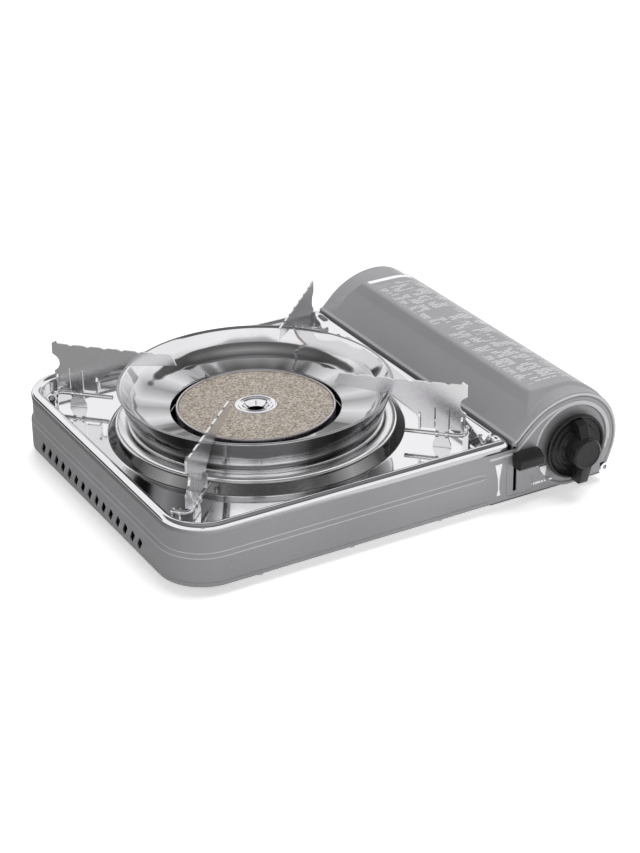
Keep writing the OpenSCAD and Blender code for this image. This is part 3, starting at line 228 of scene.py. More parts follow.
def onAll(piece, operator, **settings):
    # runs an edit mode operator on the whole mesh
    pickUp(piece)
    bpy.ops.object.mode_set(mode='EDIT')
    bpy.ops.mesh.select_all(action='SELECT')
    operator(**settings)
    bpy.ops.object.mode_set(mode='OBJECT')


def drawChain(name, points):
    # one point, drawn out along a line of points; stays in edit mode
    deselect()
    bpy.ops.mesh.primitive_plane_add(size=0.001, location=points[0])
    piece = bpy.context.object
    piece.name = name
    settle(piece)
    bpy.ops.object.mode_set(mode='EDIT')
    bpy.ops.mesh.select_all(action='SELECT')
    bpy.ops.mesh.merge(type='CENTER')
    for here, there in zip(points, points[1:]):
        bpy.ops.mesh.extrude_vertices_move(TRANSFORM_OT_translate={'value': there - here})
    bpy.ops.mesh.select_all(action='SELECT')
    return piece


def tidyMesh(piece):
    bpy.ops.mesh.select_all(action='SELECT')
    bpy.ops.mesh.remove_doubles(threshold=mergeGap)
    bpy.ops.mesh.normals_make_consistent(inside=False)
    bpy.ops.object.mode_set(mode='OBJECT')
    return piece


def lathe(name, middle, profile, steps=160, along='z'):
    # profile: radius and place along the axis, in mm
    x, y, z = middle
    if along == 'z':
        points, axis = [mm(x + r, y, h) for r, h in profile], (0, 0, 1)
    elif along == 'y':
        points, axis = [mm(x + r, h, z) for r, h in profile], (0, 1, 0)
    else:
        points, axis = [mm(h, y, z + r) for r, h in profile], (1, 0, 0)
    piece = drawChain(name, points)
    bpy.ops.mesh.spin(steps=steps, angle=math.radians(360), center=mm(x, y, z), axis=axis)
    return tidyMesh(piece)


def faceTo(piece, place, way):
    # turns an open sheet so that its face nearest to a place looks that way
    nearest = min(piece.data.polygons, key=lambda face: (face.center - place).length)
    if nearest.normal.dot(Vector(way)) < 0:
        onAll(piece, bpy.ops.mesh.flip_normals)


def applyAll(piece):
    pickUp(piece)
    for modifier in list(piece.modifiers):
        bpy.ops.object.modifier_apply(modifier=modifier.name)


def thicken(piece, thickness):
    wall = piece.modifiers.new('wall', 'SOLIDIFY')
    wall.thickness = thickness / 1000
    wall.offset = -1  # the drawn face stays outside
    wall.use_even_offset = True
    applyAll(piece)


def roundEdges(piece, width, segments, angle):
    bevel = piece.modifiers.new('edges', 'BEVEL')
    bevel.width = width / 1000
    bevel.segments = segments
    bevel.limit_method = 'ANGLE'
    bevel.angle_limit = math.radians(angle)
    applyAll(piece)


def cutOut(piece, cutter):
    cut = piece.modifiers.new('cut', 'BOOLEAN')
    cut.object = cutter
    cut.operation = 'DIFFERENCE'
    cut.solver = 'EXACT'
    applyAll(piece)
    bpy.data.objects.remove(cutter, do_unlink=True)


def joinUp(pieces, name):
    deselect()
    for piece in pieces:
        piece.select_set(True)
    bpy.context.view_layer.objects.active = pieces[0]
    bpy.ops.object.join()
    pieces[0].name = name
    return pieces[0]


def twin(piece, name):
    pickUp(piece)
    bpy.ops.object.duplicate()
    copy = bpy.context.object
    copy.name = name
    return copy


def dress(piece, finish, body, replaced, smooth=35, flatFaces=False):
    pickUp(piece)
    bpy.ops.object.shade_smooth_by_angle(angle=math.radians(smooth))
    if flatFaces:
        # large flat faces stay flat beside their rounded edges
        weighted = piece.modifiers.new('flat', 'WEIGHTED_NORMAL')
        weighted.keep_sharp = True
        applyAll(piece)
    piece.data.materials.clear()
    piece.data.materials.append(finish)
    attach(piece, body)
    if replaced:
        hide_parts(*replaced)
    return piece


def secondFinish(piece, finish, chosen):
    # gives the faces that chosen picks a finish of their own
    piece.data.materials.append(finish)
    for face in piece.data.polygons:
        if chosen(face):
            face.material_index = len(piece.data.materials) - 1
    return piece


def levelWay(face, middle):
    # from an upright axis straight out to a face
    return Vector((face.center.x - middle.x, face.center.y - middle.y, 0))


def arcOf(middle, radius, start, end, steps):
    # points of an arc, in degrees
    turns = [math.radians(start + (end - start) * i / steps) for i in range(steps + 1)]
    return [(middle[0] + radius * math.cos(a), middle[1] + radius * math.sin(a)) for a in turns]


def filleted(corners, steps=5):
    # x, y and radius of each corner; gives the line with its corners rounded
    line = []
    for i, (x, y, radius) in enumerate(corners):
        if radius == 0 or i in (0, len(corners) - 1):
            line.append((x, y))
            continue
        here = Vector((x, y))
        before = (Vector(corners[i - 1][:2]) - here).normalized()
        after = (Vector(corners[i + 1][:2]) - here).normalized()
        half = before.angle(after) / 2
        run = radius / math.tan(half)
        middle = here + (before + after).normalized() * radius / math.sin(half)
        first = here + before * run - middle
        swing = first.angle_signed(here + after * run - middle)
        for k in range(steps + 1):
            turned = first.copy()
            turned.rotate(Matrix.Rotation(-swing * k / steps, 2))
            line.append(tuple(middle + turned))
    return line


def ringSection(inner, outer, foot, top, innerRound, outerRound, steps):
    # a closed section, rounded along its two top edges
    return filleted([
        (inner, foot, 0), (inner, top, innerRound), (outer, top, outerRound), (outer, foot, 0), (inner, foot, 0),
    ], steps)


def sleeveSection(bore, radius, start, end, rounding, steps):
    # a closed section, rounded at both ends outside
    return filleted([
        (bore, start, 0), (radius, start, rounding), (radius, end, rounding), (bore, end, 0), (bore, start, 0),
    ], steps)


def insetLine(line, depth):
    # a line moved to its right by depth
    moved = []
    for i, point in enumerate(line):
        here = Vector(point)
        ways = []
        if i > 0:
            ways.append((here - Vector(line[i - 1])).normalized())
        if i < len(line) - 1:
            ways.append((Vector(line[i + 1]) - here).normalized())
        sides = [Vector((w.y, -w.x)) for w in ways]
        side = sum(sides, Vector((0, 0))).normalized()
        moved.append(tuple(here + side * depth / max(0.3, side.dot(sides[0]))))
    return moved


def softStep(low, high, value):
    t = min(1, max(0, (value - low) / (high - low)))
    return t * t * (3 - 2 * t)


def sheetOf(name, rows):
    # a grid whose points are placed one by one, for a pressed form with soft blends
    deselect()
    bpy.ops.mesh.primitive_grid_add(x_subdivisions=len(rows[0]) - 1, y_subdivisions=len(rows) - 1, size=0.1)
    piece = bpy.context.object
    piece.name = name
    places = [p for row in rows for p in row]
    assert len(places) == len(piece.data.vertices), (len(places), len(piece.data.vertices))
    for vertex, place in zip(piece.data.vertices, places):
        vertex.co = place
    return piece


def resampled(line, model):
    # as many points as the model line, spread along the line in the same shares
    def runs(points):
        total = [0.0]
        for a, b in zip(points, points[1:]):
            total.append(total[-1] + (Vector(b) - Vector(a)).length)
        return total
    own, shares = runs(line), runs(model)
    spread = []
    for share in shares:
        far = share / shares[-1] * own[-1]
        i = next((k for k in range(1, len(own)) if own[k] >= far - 1e-9), len(own) - 1)
        t = (far - own[i - 1]) / max(1e-9, own[i] - own[i - 1])
        spread.append(tuple(Vector(line[i - 1]).lerp(Vector(line[i]), t)))
    return spread


def flatPlate(name, outline, thickness, place):
    # a closed outline filled, then drawn out; place turns outline points into 3-D points
    piece = drawChain(name, [place(a, b, 0) for a, b in outline])
    bpy.ops.mesh.edge_face_add()
    way = place(0, 0, thickness) - place(0, 0, 0)
    bpy.ops.mesh.extrude_region_move(TRANSFORM_OT_translate={'value': way})
    return tidyMesh(piece)


def ribbon(name, line, wide, proud, rounding):
    # a low rounded ridge that stands on the front along a line
    root = 0.3
    sides = insetLine(line, -wide / 2) + insetLine(line, wide / 2)[::-1]
    piece = flatPlate(name, sides, proud + root, lambda a, b, t: mm(a, root - t, b))
    roundEdges(piece, rounding, 3, 50)
    return piece


def newFinish(name, color, metallic, roughness):
    finish = bpy.data.materials.new(name)
    finish.use_nodes = True
    shader = finish.node_tree.nodes['Principled BSDF']
    shader.inputs['Base Color'].default_value = (*color, 1)
    shader.inputs['Metallic'].default_value = metallic
    shader.inputs['Roughness'].default_value = roughness
    return finish, finish.node_tree, shader


def pattern(tree, kind, scale, stretch=(1, 1, 1), **settings):
    place = addNode(tree, 'ShaderNodeTexCoord')
    mapping = addNode(tree, 'ShaderNodeMapping')
    mapping.inputs['Scale'].default_value = stretch
    texture = addNode(tree, kind)
    texture.inputs['Scale'].default_value = scale
    for name, value in settings.items():
        texture.inputs[name].default_value = value
    tree.links.new(place.outputs['Object'], mapping.inputs['Vector'])
    tree.links.new(mapping.outputs['Vector'], texture.inputs['Vector'])
    return texture


def noise(tree, scale, detail, stretch=(1, 1, 1)):
    return pattern(tree, 'ShaderNodeTexNoise', scale, stretch, Detail=detail).outputs['Fac']


def bumpFrom(tree, shader, sources):
    # height patterns, each with its strength and depth in metres, stacked
    last = None
    for source, strength, distance in sources:
        bump = addNode(tree, 'ShaderNodeBump')
        bump.inputs['Strength'].default_value = strength
        bump.inputs['Distance'].default_value = distance
        tree.links.new(source, bump.inputs['Height'])
        if last:
            tree.links.new(last, bump.inputs['Normal'])
        last = bump.outputs['Normal']
    tree.links.new(last, shader.inputs['Normal'])


def roughFrom(tree, shader, source, low, high, start=0.3, end=0.7):
    tree.links.new(ramp(tree, source, [(start, low), (end, high)]), shader.inputs['Roughness'])


def shades(tree, source, color, dark, light, end=0.7):
    # wanders between a darker and a lighter shade of one colour
    return ramp(tree, source, [(0.3, [c * dark for c in color]), (end, [c * light for c in color])])


def multiplied(tree, first, second, share=None):
    # one colour times another, all over or only by a share
    mixed = addNode(tree, 'ShaderNodeMix', data_type='RGBA', blend_type='MULTIPLY')
    mixed.inputs['Factor'].default_value = 1.0
    if share:
        tree.links.new(share, mixed.inputs['Factor'])
    tree.links.new(first, mixed.inputs[6])
    tree.links.new(second, mixed.inputs[7])
    return mixed.outputs[2]


def placeAxes(tree):
    # x, y and z of a place on the piece
    place = addNode(tree, 'ShaderNodeTexCoord')
    axes = addNode(tree, 'ShaderNodeSeparateXYZ')
    tree.links.new(place.outputs['Object'], axes.inputs[0])
    return axes.outputs


def between(tree, value, low, high):
    # 1 where a value lies between two limits
    node = addNode(tree, 'ShaderNodeMath', operation='COMPARE')
    node.inputs[1].default_value = (low + high) / 2
    node.inputs[2].default_value = (high - low) / 2
    tree.links.new(value, node.inputs[0])
    return node.outputs[0]


def combined(tree, operation, first, second):
    node = addNode(tree, 'ShaderNodeMath', operation=operation, use_clamp=True)
    tree.links.new(first, node.inputs[0])
    tree.links.new(second, node.inputs[1])
    return node.outputs[0]


def bricks(tree, width, height, gap, offset, fill):
    # rows of short bars in mm, of which some are left out
    texture = pattern(tree, 'ShaderNodeTexBrick', 1.0, (1000, 1000, 1000), **{
        'Color1': (0, 0, 0, 1), 'Color2': (1, 1, 1, 1), 'Mortar': (0, 0, 0, 1),
        'Mortar Size': gap, 'Mortar Smooth': 0.1, 'Brick Width': width, 'Row Height': height,
    })
    texture.offset = offset
    return ramp(tree, texture.outputs['Color'], [(fill, 0), (fill + 0.05, 1)])


label = {
    'left': 283.0, 'right': 322.0, 'front': 24.0, 'back': 229.0, 'low': 72.0, 'high': 100.0,
    'barFront': 236.0, 'barBack': 240.6, 'ink': (0.85, 0.85, 0.87), 'faint': 0.5,
    # width, height, gap, offset and share left out, of the short bars and of the blocks they stand in
    'bars': (8.0, 2.3, 0.56, 0.37, 0.3), 'blocks': (21.0, 14.0, 1.5, 0.4, 0.1),
}


def labelOn(tree, color):
    # plain bars on the lid's top, in place of printed lines
    s = label
    axes = placeAxes(tree)
    low, high = mm(s['left'], s['front'], s['low']), mm(s['right'], s['back'], s['high'])
    across, along, onTop = [between(tree, axes[i], low[i], high[i]) for i in range(3)]
    back = between(tree, axes[1], mm(0, s['barFront'], 0).y, mm(0, s['barBack'], 0).y)
    strip = combined(tree, 'MULTIPLY', across, onTop)
    field = combined(tree, 'MULTIPLY', strip, along)
    lines = combined(tree, 'MULTIPLY', bricks(tree, *s['bars']), bricks(tree, *s['blocks']))
    bars = combined(tree, 'MULTIPLY', field, lines)
    bar = combined(tree, 'MULTIPLY', strip, back)
    faint = addNode(tree, 'ShaderNodeMath', operation='MULTIPLY')
    faint.inputs[1].default_value = s['faint']
    tree.links.new(bars, faint.inputs[0])
    mixed = addNode(tree, 'ShaderNodeMix', data_type='RGBA')
    mixed.inputs[7].default_value = (*s['ink'], 1)
    tree.links.new(combined(tree, 'MAXIMUM', faint.outputs[0], bar), mixed.inputs[0])
    tree.links.new(color, mixed.inputs[6])
    return mixed.outputs[2]


enamel = {
    'metallic': 0.2, 'roughness': 0.46, 'smoothest': 0.42, 'roughest': 0.52, 'coat': 0.12, 'coatRoughness': 0.15,
    'flakes': 2600, 'clouds': 14, 'bump': 0.12, 'bumpDepth': 0.00004,
    # bright is a lighter grey that paints the highlight on ridges and step edges
    'grey': (0.29, 0.29, 0.30), 'bright': (0.52, 0.52, 0.53),
}


def makePaint(name, color, labelled=False):
    s = enamel
    finish, tree, shader = newFinish(name, color, s['metallic'], s['roughness'])
    shader.inputs['Coat Weight'].default_value = s['coat']
    shader.inputs['Coat Roughness'].default_value = s['coatRoughness']
    flakes, clouds = noise(tree, s['flakes'], 2.0), noise(tree, s['clouds'], 3.0)
    grain = ramp(tree, flakes, [(0.3, 0.9), (0.7, 1.1)])
    shown = multiplied(tree, shades(tree, clouds, color, 0.95, 1.05), grain)
    if labelled:
        shown = labelOn(tree, shown)
    tree.links.new(shown, shader.inputs['Base Color'])
    roughFrom(tree, shader, clouds, s['smoothest'], s['roughest'], 0.2, 0.8)
    bumpFrom(tree, shader, [(flakes, s['bump'], s['bumpDepth'])])
    return finish


def vectorStep(tree, operation, source, by=None):
    node = addNode(tree, 'ShaderNodeVectorMath', operation=operation)
    tree.links.new(source, node.inputs[0])
    if by:
        node.inputs[1].default_value = by
    return node.outputs['Vector']


def fromMiddle(tree):
    # the place seen from the burner's axis, and its direction
    place = addNode(tree, 'ShaderNodeTexCoord')
    shift = addNode(tree, 'ShaderNodeMapping')
    shift.inputs['Location'].default_value = -mm(*burner, 0)
    tree.links.new(place.outputs['Object'], shift.inputs['Vector'])
    level = vectorStep(tree, 'MULTIPLY', shift.outputs['Vector'], (1, 1, 0))
    return shift.outputs['Vector'], vectorStep(tree, 'NORMALIZE', level)


sheen = {
    'front': (-0.44, -0.898, 0),          # the way at which the painted reflection streaks round the burner end
    'around': 3.2, 'upward': 8.0,         # how fast its waves change round the burner and with height
    'waveDepth': 0.012, 'swirls': 9, 'swirlDepth': 0.004, 'scratches': 160, 'scratchDepth': 0.0001,
}


def aroundBurner(tree):
    # a slow noise that changes round the burner and with height, as drawn sheet does
    place, way = fromMiddle(tree)
    height = vectorStep(tree, 'MULTIPLY', place, (0, 0, sheen['upward']))
    total = addNode(tree, 'ShaderNodeVectorMath', operation='ADD')
    tree.links.new(vectorStep(tree, 'MULTIPLY', way, (sheen['around'],) * 3), total.inputs[0])
    tree.links.new(height, total.inputs[1])
    texture = addNode(tree, 'ShaderNodeTexNoise')
    texture.inputs['Scale'].default_value = 1.0
    texture.inputs['Detail'].default_value = 1.0
    tree.links.new(total.outputs['Vector'], texture.inputs['Vector'])
    return texture.outputs['Fac']


def paintedReflectionStreaks(tree, stops):
    # painted reflection: light and dark streaks round the burner, from its back (0) round to its front (1)
    turn = addNode(tree, 'ShaderNodeVectorMath', operation='DOT_PRODUCT')
    turn.inputs[1].default_value = sheen['front']
    tree.links.new(fromMiddle(tree)[1], turn.inputs[0])
    share = addNode(tree, 'ShaderNodeMath', operation='MULTIPLY_ADD', use_clamp=True)
    share.inputs[1].default_value = 0.5
    share.inputs[2].default_value = 0.5
    tree.links.new(turn.outputs['Value'], share.inputs[0])
    return ramp(tree, share.outputs[0], stops)


def makeMirror(name, color, low, high, wave, streaks=0.0, tones=(), heights=()):
    # tones are painted reflection streaks; heights say how strongly they show at heights in metres
    s = sheen
    finish, tree, shader = newFinish(name, color, 1.0, low)
    swirl, scratch = noise(tree, s['swirls'], 2.0), noise(tree, s['scratches'], 4.0, (1, 8, 8))
    roughFrom(tree, shader, scratch, low, high, start=0.35)
    tint = shades(tree, swirl, color, 0.94, 1)
    if tones:
        share = ramp(tree, placeAxes(tree)[2], heights) if heights else None
        tint = multiplied(tree, tint, paintedReflectionStreaks(tree, tones), share)
    tree.links.new(tint, shader.inputs['Base Color'])
    bumps = [(swirl, wave, s['swirlDepth']), (scratch, 0.05, s['scratchDepth'])]
    if streaks:
        bumps.append((aroundBurner(tree), streaks, s['waveDepth']))
    bumpFrom(tree, shader, bumps)
    return finish


def makeMetal(name, color, roughness, grain=900):
    finish, tree, shader = newFinish(name, color, 1.0, roughness)
    spots, clouds = noise(tree, grain, 3.0), noise(tree, 45, 3.0)
    tree.links.new(shades(tree, clouds, color, 0.85, 1), shader.inputs['Base Color'])
    roughFrom(tree, shader, spots, roughness * 0.8, roughness * 1.25)
    bumpFrom(tree, shader, [(spots, 0.15, 0.00005)])
    return finish


def makePlastic(name, color, roughness, grain=1800):
    finish, tree, shader = newFinish(name, color, 0.0, roughness)
    shader.inputs['Specular IOR Level'].default_value = 0.25
    spots, clouds = noise(tree, grain, 2.0), noise(tree, 60, 3.0)
    tree.links.new(shades(tree, clouds, color, 0.8, 1.25, 0.75), shader.inputs['Base Color'])
    roughFrom(tree, shader, clouds, roughness * 0.85, roughness * 1.15)
    bumpFrom(tree, shader, [(spots, 0.2, 0.00005)])
    return finish


stone = {
    # hole is the colour of the painted shade inside the pores
    'color': (0.33, 0.29, 0.25), 'dark': (0.2, 0.17, 0.14), 'light': (0.47, 0.43, 0.38), 'hole': (0.3, 0.28, 0.26),
    'roughness': 0.85, 'pores': 540, 'speckles': 620, 'clouds': 40,
}


def makeCeramic(name):
    s = stone
    finish, tree, shader = newFinish(name, s['color'], 0.0, s['roughness'])
    pores = pattern(tree, 'ShaderNodeTexVoronoi', s['pores']).outputs['Distance']
    speckles, clouds = noise(tree, s['speckles'], 4.0), noise(tree, s['clouds'], 2.0)
    base = ramp(tree, speckles, [(0.34, s['dark']), (0.5, s['color']), (0.66, s['light'])])
    # the pores are painted darker: painted shade inside the holes
    poreShade = ramp(tree, pores, [(0.1, s['hole']), (0.42, 1)])
    tree.links.new(multiplied(tree, base, poreShade), shader.inputs['Base Color'])
    bumpFrom(tree, shader, [(pores, 0.5, 0.0004), (clouds, 0.2, 0.0005)])
    return finish


paint = makePaint('greyEnamel', enamel['grey'])
lidPaint = makePaint('lidEnamel', enamel['grey'], labelled=True)
# lighter enamel: a painted highlight on the ridges and on the step's edges
highlightPaint = makePaint('paintedHighlightEnamel', enamel['bright'])
whiteInk = makePaint('whiteInk', label['ink'])
mirror = makeMirror('mirrorSteel', (0.87, 0.86, 0.88), 0.04, 0.09, 0.06)
# the dish and skirt steels below get painted reflection streaks from their tones
drawnPaintedReflections = makeMirror('drawnSteelPaintedReflections', (0.86, 0.85, 0.87), 0.04, 0.1, 0.04, streaks=0.14, tones=(
    (0.0, 0.8), (0.03, 0.6), (0.1, 0.4), (0.2, 0.85), (0.3, 0.35), (0.42, 0.8), (0.5, 0.4), (0.62, 0.85),
    (0.75, 0.35), (0.88, 0.75), (1.0, 0.6)), heights=((0.058, 1.0), (0.066, 0.08)))
softPaintedReflections = makeMirror('softMirrorPaintedReflections', (0.8, 0.8, 0.81), 0.07, 0.12, 0.05, streaks=0.12, tones=(
    (0.0, 0.6), (0.4, 0.6), (0.5, 0.8), (0.6, 0.2), (0.75, 0.1), (0.85, 0.32), (0.92, 0.08), (0.965, 0.25),
    (0.99, 1.0), (1.0, 1.0)))
skirtSteelPaintedReflections = makeMirror('skirtSteelPaintedReflections', (0.7, 0.7, 0.71), 0.08, 0.16, 0.04, streaks=0.2, tones=(
    (0.0, 0.6), (0.45, 0.6), (0.6, 0.14), (0.8, 0.1), (0.9, 0.45), (0.95, 0.15), (0.985, 0.8), (1.0, 0.6)))
# darker steel for the rims' outer and top faces, a painted dark reflection
darkReflectionSteel = makeMirror('paintedDarkReflectionSteel', (0.40, 0.40, 0.41), 0.1, 0.18, 0.03)
polished = makeMirror('polishedSteel', (0.86, 0.86, 0.87), 0.16, 0.26, 0.02)
plated = makeMetal('platedSteel', (0.55, 0.56, 0.57), 0.35)
burnerSteel = makeMetal('burnerSteel', (0.78, 0.74, 0.76), 0.3)
castAlloy = makeMetal('castAlloy', (0.5, 0.51, 0.52), 0.5, 500)
brass = makeMetal('turnedBrass', (0.72, 0.52, 0.22), 0.25)
blackPlastic = makePlastic('blackPlastic', (0.012, 0.012, 0.013), 0.34)
glossPlastic = makePlastic('glossBlackPlastic', (0.012, 0.012, 0.013), 0.26)
blackRubber = makePlastic('blackRubber', (0.03, 0.03, 0.03), 0.8, 900)
glazed = makePlastic('glazedCeramic', (0.8, 0.79, 0.76), 0.2)
ceramic = makeCeramic('porousCeramic')
finishOf = {
    'painted_steel': paint, 'stainless': mirror, 'plated_steel': plated, 'burner_steel': burnerSteel,
    'ceramic_plate': ceramic, 'white_ceramic': glazed, 'die_cast': castAlloy, 'brass': brass,
    'black_plastic': blackPlastic, 'black_rubber': blackRubber,
}
for part in frame['record']['subparts']:
    node = frame['nodes'][part['node']]
    node.data.materials.clear()
    node.data.materials.append(finishOf[part['material_slot']])
print('finishes made')

tray = {
    'inset': 1.4, 'rimWidth': 8.2, 'rimTop': 52.1, 'rimFoot': 45.9, 'floor': 39.0,
    'margin': 4.0, 'floorRound': 2.2, 'endX': 255.4, 'endTop': 49.9, 'cornerRadius': 33.5, 'depth': 273.0,
    'bossRadius': 105.7, 'bossTopRadius': 100.3, 'bossTop': 46.4, 'skirtFoot': 2.5, 'hole': 62.3, 'holeLip': 2.4,
    'sheet': 0.8, 'squareness': 6, 'sides': 160, 'rollSteps': 12, 'blendRun': 10.0, 'blendStep': 0.9, 'blendRows': 13,
    'darkReflectionLow': 45.8, 'darkReflectionTop': 48.8, 'skirtInner': 100.0, 'skirtOuter': 106.6,  # where the finishes with a painted dark reflection and painted reflection streaks begin
}
quarterSteps = 14  # facets of a quarter turn in the tray and the case


def pushTo(way):
    # draws the selected edges out by a way in mm
    bpy.ops.mesh.extrude_region_move(TRANSFORM_OT_translate={'value': mm(*way) - mm(0, 0, 0)})


def spinQuarter(x, y):
    bpy.ops.mesh.spin(steps=quarterSteps, angle=math.radians(90), center=mm(x, y, 0), axis=(0, 0, 1))


def makeTray():
    s = tray
    near, wide, low = s['inset'], s['rimWidth'], s['floor']
    depth, r, roll = s['depth'], s['cornerRadius'], s['rimWidth'] / 2
    edge = near + wide + s['margin']
    outer = [(near, s['rimFoot'])] + arcOf((near + roll, s['rimTop'] - roll), roll, 180, 0, s['rollSteps'])
    inner = filleted([(near + wide, s['rimTop'] - roll, 0), (near + wide, low, s['floorRound']), (edge, low, 0)])
    section = outer + inner[1:]
    turnX = s['endX'] - wide - s['margin']
    # the rim runs round front, left and back, and turns in beside the lid at both ends
    rim = drawChain('trayRim', [mm(s['endX'] + near - d, edge, z) for d, z in section])
    spinQuarter(turnX, edge)
    pushTo((r - turnX, 0, 0))
    spinQuarter(r, r)
    pushTo((0, depth - 2 * r, 0))
    spinQuarter(r, depth - r)
    pushTo((turnX - r, 0, 0))
    spinQuarter(turnX, depth - edge)
    # the two ends are squarer than a quarter circle
    mesh = bmesh.from_edit_mesh(rim.data)
    power = s['squareness']
    for vertex in mesh.verts:
        for middle, side in ((mm(turnX, edge, 0), -1), (mm(turnX, depth - edge, 0), 1)):
            across, along = vertex.co.x - middle.x, side * (vertex.co.y - middle.y)
            far = math.hypot(across, along)
            if across > 0 and along > 0 and far > 0:
                grown = ((across / far) ** power + (along / far) ** power) ** (-1 / power)
                vertex.co.x = middle.x + across * grown
                vertex.co.y = middle.y + side * along * grown
    bmesh.update_edit_mesh(rim.data)
    tidyMesh(rim)
    faceTo(rim, mm(100, near + roll, s['rimTop']), (0, 0, 1))
    # the lower edge beside the lid grows out of the rim's ends
    rimLine = [(s['endX'] + near - d, z) for d, z in section]
    slope = resampled(filleted([
        (s['endX'], s['rimFoot'], 0), (s['endX'], s['endTop'], 1.0),
        (s['endX'] - 3.0, s['endTop'], 2.0), (turnX, low, 0),
    ]), rimLine)
    rows = []
    for y in [edge + s['blendStep'] * i for i in range(s['blendRows'])] + [depth / 2]:
        mix = softStep(0, s['blendRun'], y - edge)
        rows.append([mm(x0 + (x1 - x0) * mix, y, z0 + (z1 - z0) * mix)
                     for (x0, z0), (x1, z1) in zip(rimLine, slope)])
    halfway = mm(0, depth / 2, 0).y
    mirrored = [[Vector((p.x, 2 * halfway - p.y, p.z)) for p in row] for row in rows[-2::-1]]
    lidSide = sheetOf('trayEdge', rows + mirrored)
    faceTo(lidSide, mm(s['endX'] - 1.5, depth / 2, s['endTop']), (0, 0, 1))
    # the boss under the dish
    bossFoot = s['bossRadius'] + s['skirtFoot']
    boss = lathe('trayBoss', (*burner, 0), filleted([
        (bossFoot, low, 0), (s['bossRadius'], low, 2), (s['bossTopRadius'], s['bossTop'], 2),
        (s['hole'], s['bossTop'], 0.8), (s['hole'], s['bossTop'] - s['holeLip'], 0),
    ]), s['sides'])
    faceTo(boss, mm(burner[0] + 80, burner[1], s['bossTop']), (0, 0, 1))
    # the floor between them
    bend = r - edge
    plan = [(turnX, edge), (turnX, depth - edge)]
    plan += arcOf((r, depth - r), bend, 90, 180, quarterSteps) + arcOf((r, r), bend, 180, 270, quarterSteps)
    sheet = drawChain('trayFloor', [mm(x, y, low) for x, y in plan + [(turnX, edge)]])
    bpy.ops.mesh.remove_doubles(threshold=mergeGap)
    bpy.ops.mesh.primitive_circle_add(vertices=s['sides'], radius=bossFoot / 1000, location=mm(*burner, low))
    bpy.ops.mesh.select_all(action='SELECT')
    bpy.ops.mesh.fill(use_beauty=True)
    tidyMesh(sheet)
    faceTo(sheet, mm(20, 20, low), (0, 0, 1))
    piece = joinUp([sheet, rim, lidSide, boss], 'tray')
    onAll(piece, bpy.ops.mesh.remove_doubles, threshold=2 * mergeGap)
    thicken(piece, s['sheet'])
    dress(piece, mirror, 'case', ['top_plate'])
    centre, axis = mm(s['endX'] / 2, depth / 2, 0), mm(*burner, 0)

    def outerSide(face):
        # the outer half of the rolled rim, which takes darker steel as a painted dark reflection
        high = s['darkReflectionLow'] < face.center.z * 1000 < s['darkReflectionTop']
        return high and face.normal.z < 0.5 and face.normal.dot(levelWay(face, centre)) > 0.01

    def skirt(face):
        # the slanted side of the boss, which gets painted reflection streaks
        far = levelWay(face, axis).length * 1000
        return s['skirtInner'] < far < s['skirtOuter'] and 0.2 < face.normal.z < 0.9

    secondFinish(piece, darkReflectionSteel, outerSide)
    return secondFinish(piece, skirtSteelPaintedReflections, skirt)


makeTray()
print('tray made')


dish = {
    'beadRadius': 99.0, 'beadWidth': 9.2, 'beadHeight': 2.7, 'foot': 46.4, 'rimRadius': 98.2, 'rimTop': 74.5,
    'floorRadius': 86.7, 'floorEdge': 58.0, 'floorRound': 14.0, 'holeRadius': 60.7, 'holeTop': 55.5, 'lip': 2.6,
    'sheet': 0.4, 'sides': 192,
    'sideLow': 48.7, 'sideTop': 74.2, 'beadTop': 51.4, 'beadInner': 89.5, 'darkReflectionLow': 73.9,  # where finishes begin; the side's has painted reflection streaks, the rim top's a painted dark reflection
}


def makeDish():
    s = dish
    half, foot, rim, top = s['beadWidth'] / 2, s['foot'], s['rimRadius'], s['rimTop']
    beadInner = s['beadRadius'] - s['beadWidth']
    line = [(s['beadRadius'], foot)]
    line += [(s['beadRadius'] - half + x, foot + 0.4 + z * s['beadHeight'] / half)
             for x, z in arcOf((0, 0), half, 10, 140, 10)]
    line += filleted([
        (beadInner + 1.0, foot + 2.0, 0), (beadInner - 0.2, foot + 2.3, 0.5),
        (rim - 1.0, top - 1.6, 0.6), (rim, top - 0.9, 0.5), (rim - 0.5, top, 0.5),
        (rim - 2.0, top, 0.9), (rim - 3.0, top - 1.4, 0.8),
        (s['floorRadius'], s['floorEdge'], s['floorRound']),
        (s['holeRadius'], s['holeTop'], 1.0), (s['holeRadius'], s['holeTop'] - s['lip'], 0),
    ])
    piece = lathe('windDish', (*burner, 0), line, s['sides'])
    faceTo(piece, mm(burner[0] + 70, burner[1], 56.4), (0, 0, 1))
    thicken(piece, s['sheet'])
    dress(piece, drawnPaintedReflections, 'case', ['wind_dish'], smooth=50)
    axis = mm(*burner, 0)

    def outside(face):
        high = s['sideLow'] < face.center.z * 1000 < s['sideTop']
        return high and face.normal.dot(levelWay(face, axis).normalized()) > 0.4

    def bead(face):
        return face.center.z * 1000 < s['beadTop'] and levelWay(face, axis).length * 1000 > s['beadInner']

    def rimTop(face):
        # the rim's top takes the darker steel, a painted dark reflection
        return face.center.z * 1000 > s['darkReflectionLow'] and face.normal.z > -0.5

    secondFinish(piece, softPaintedReflections, outside)
    secondFinish(piece, polished, bead)
    return secondFinish(piece, darkReflectionSteel, rimTop)


makeDish()
print('wind dish made')


plate = {'radius': 55.4, 'top': 55.8, 'thickness': 9.0, 'hole': 10.7}
ring = {'inner': 55.5, 'outer': 57.0, 'low': 54.6, 'top': 56.8, 'sides': 192}
centreRing = {'radius': 15.3, 'bore': 9.1, 'top': 56.6, 'sides': 96}


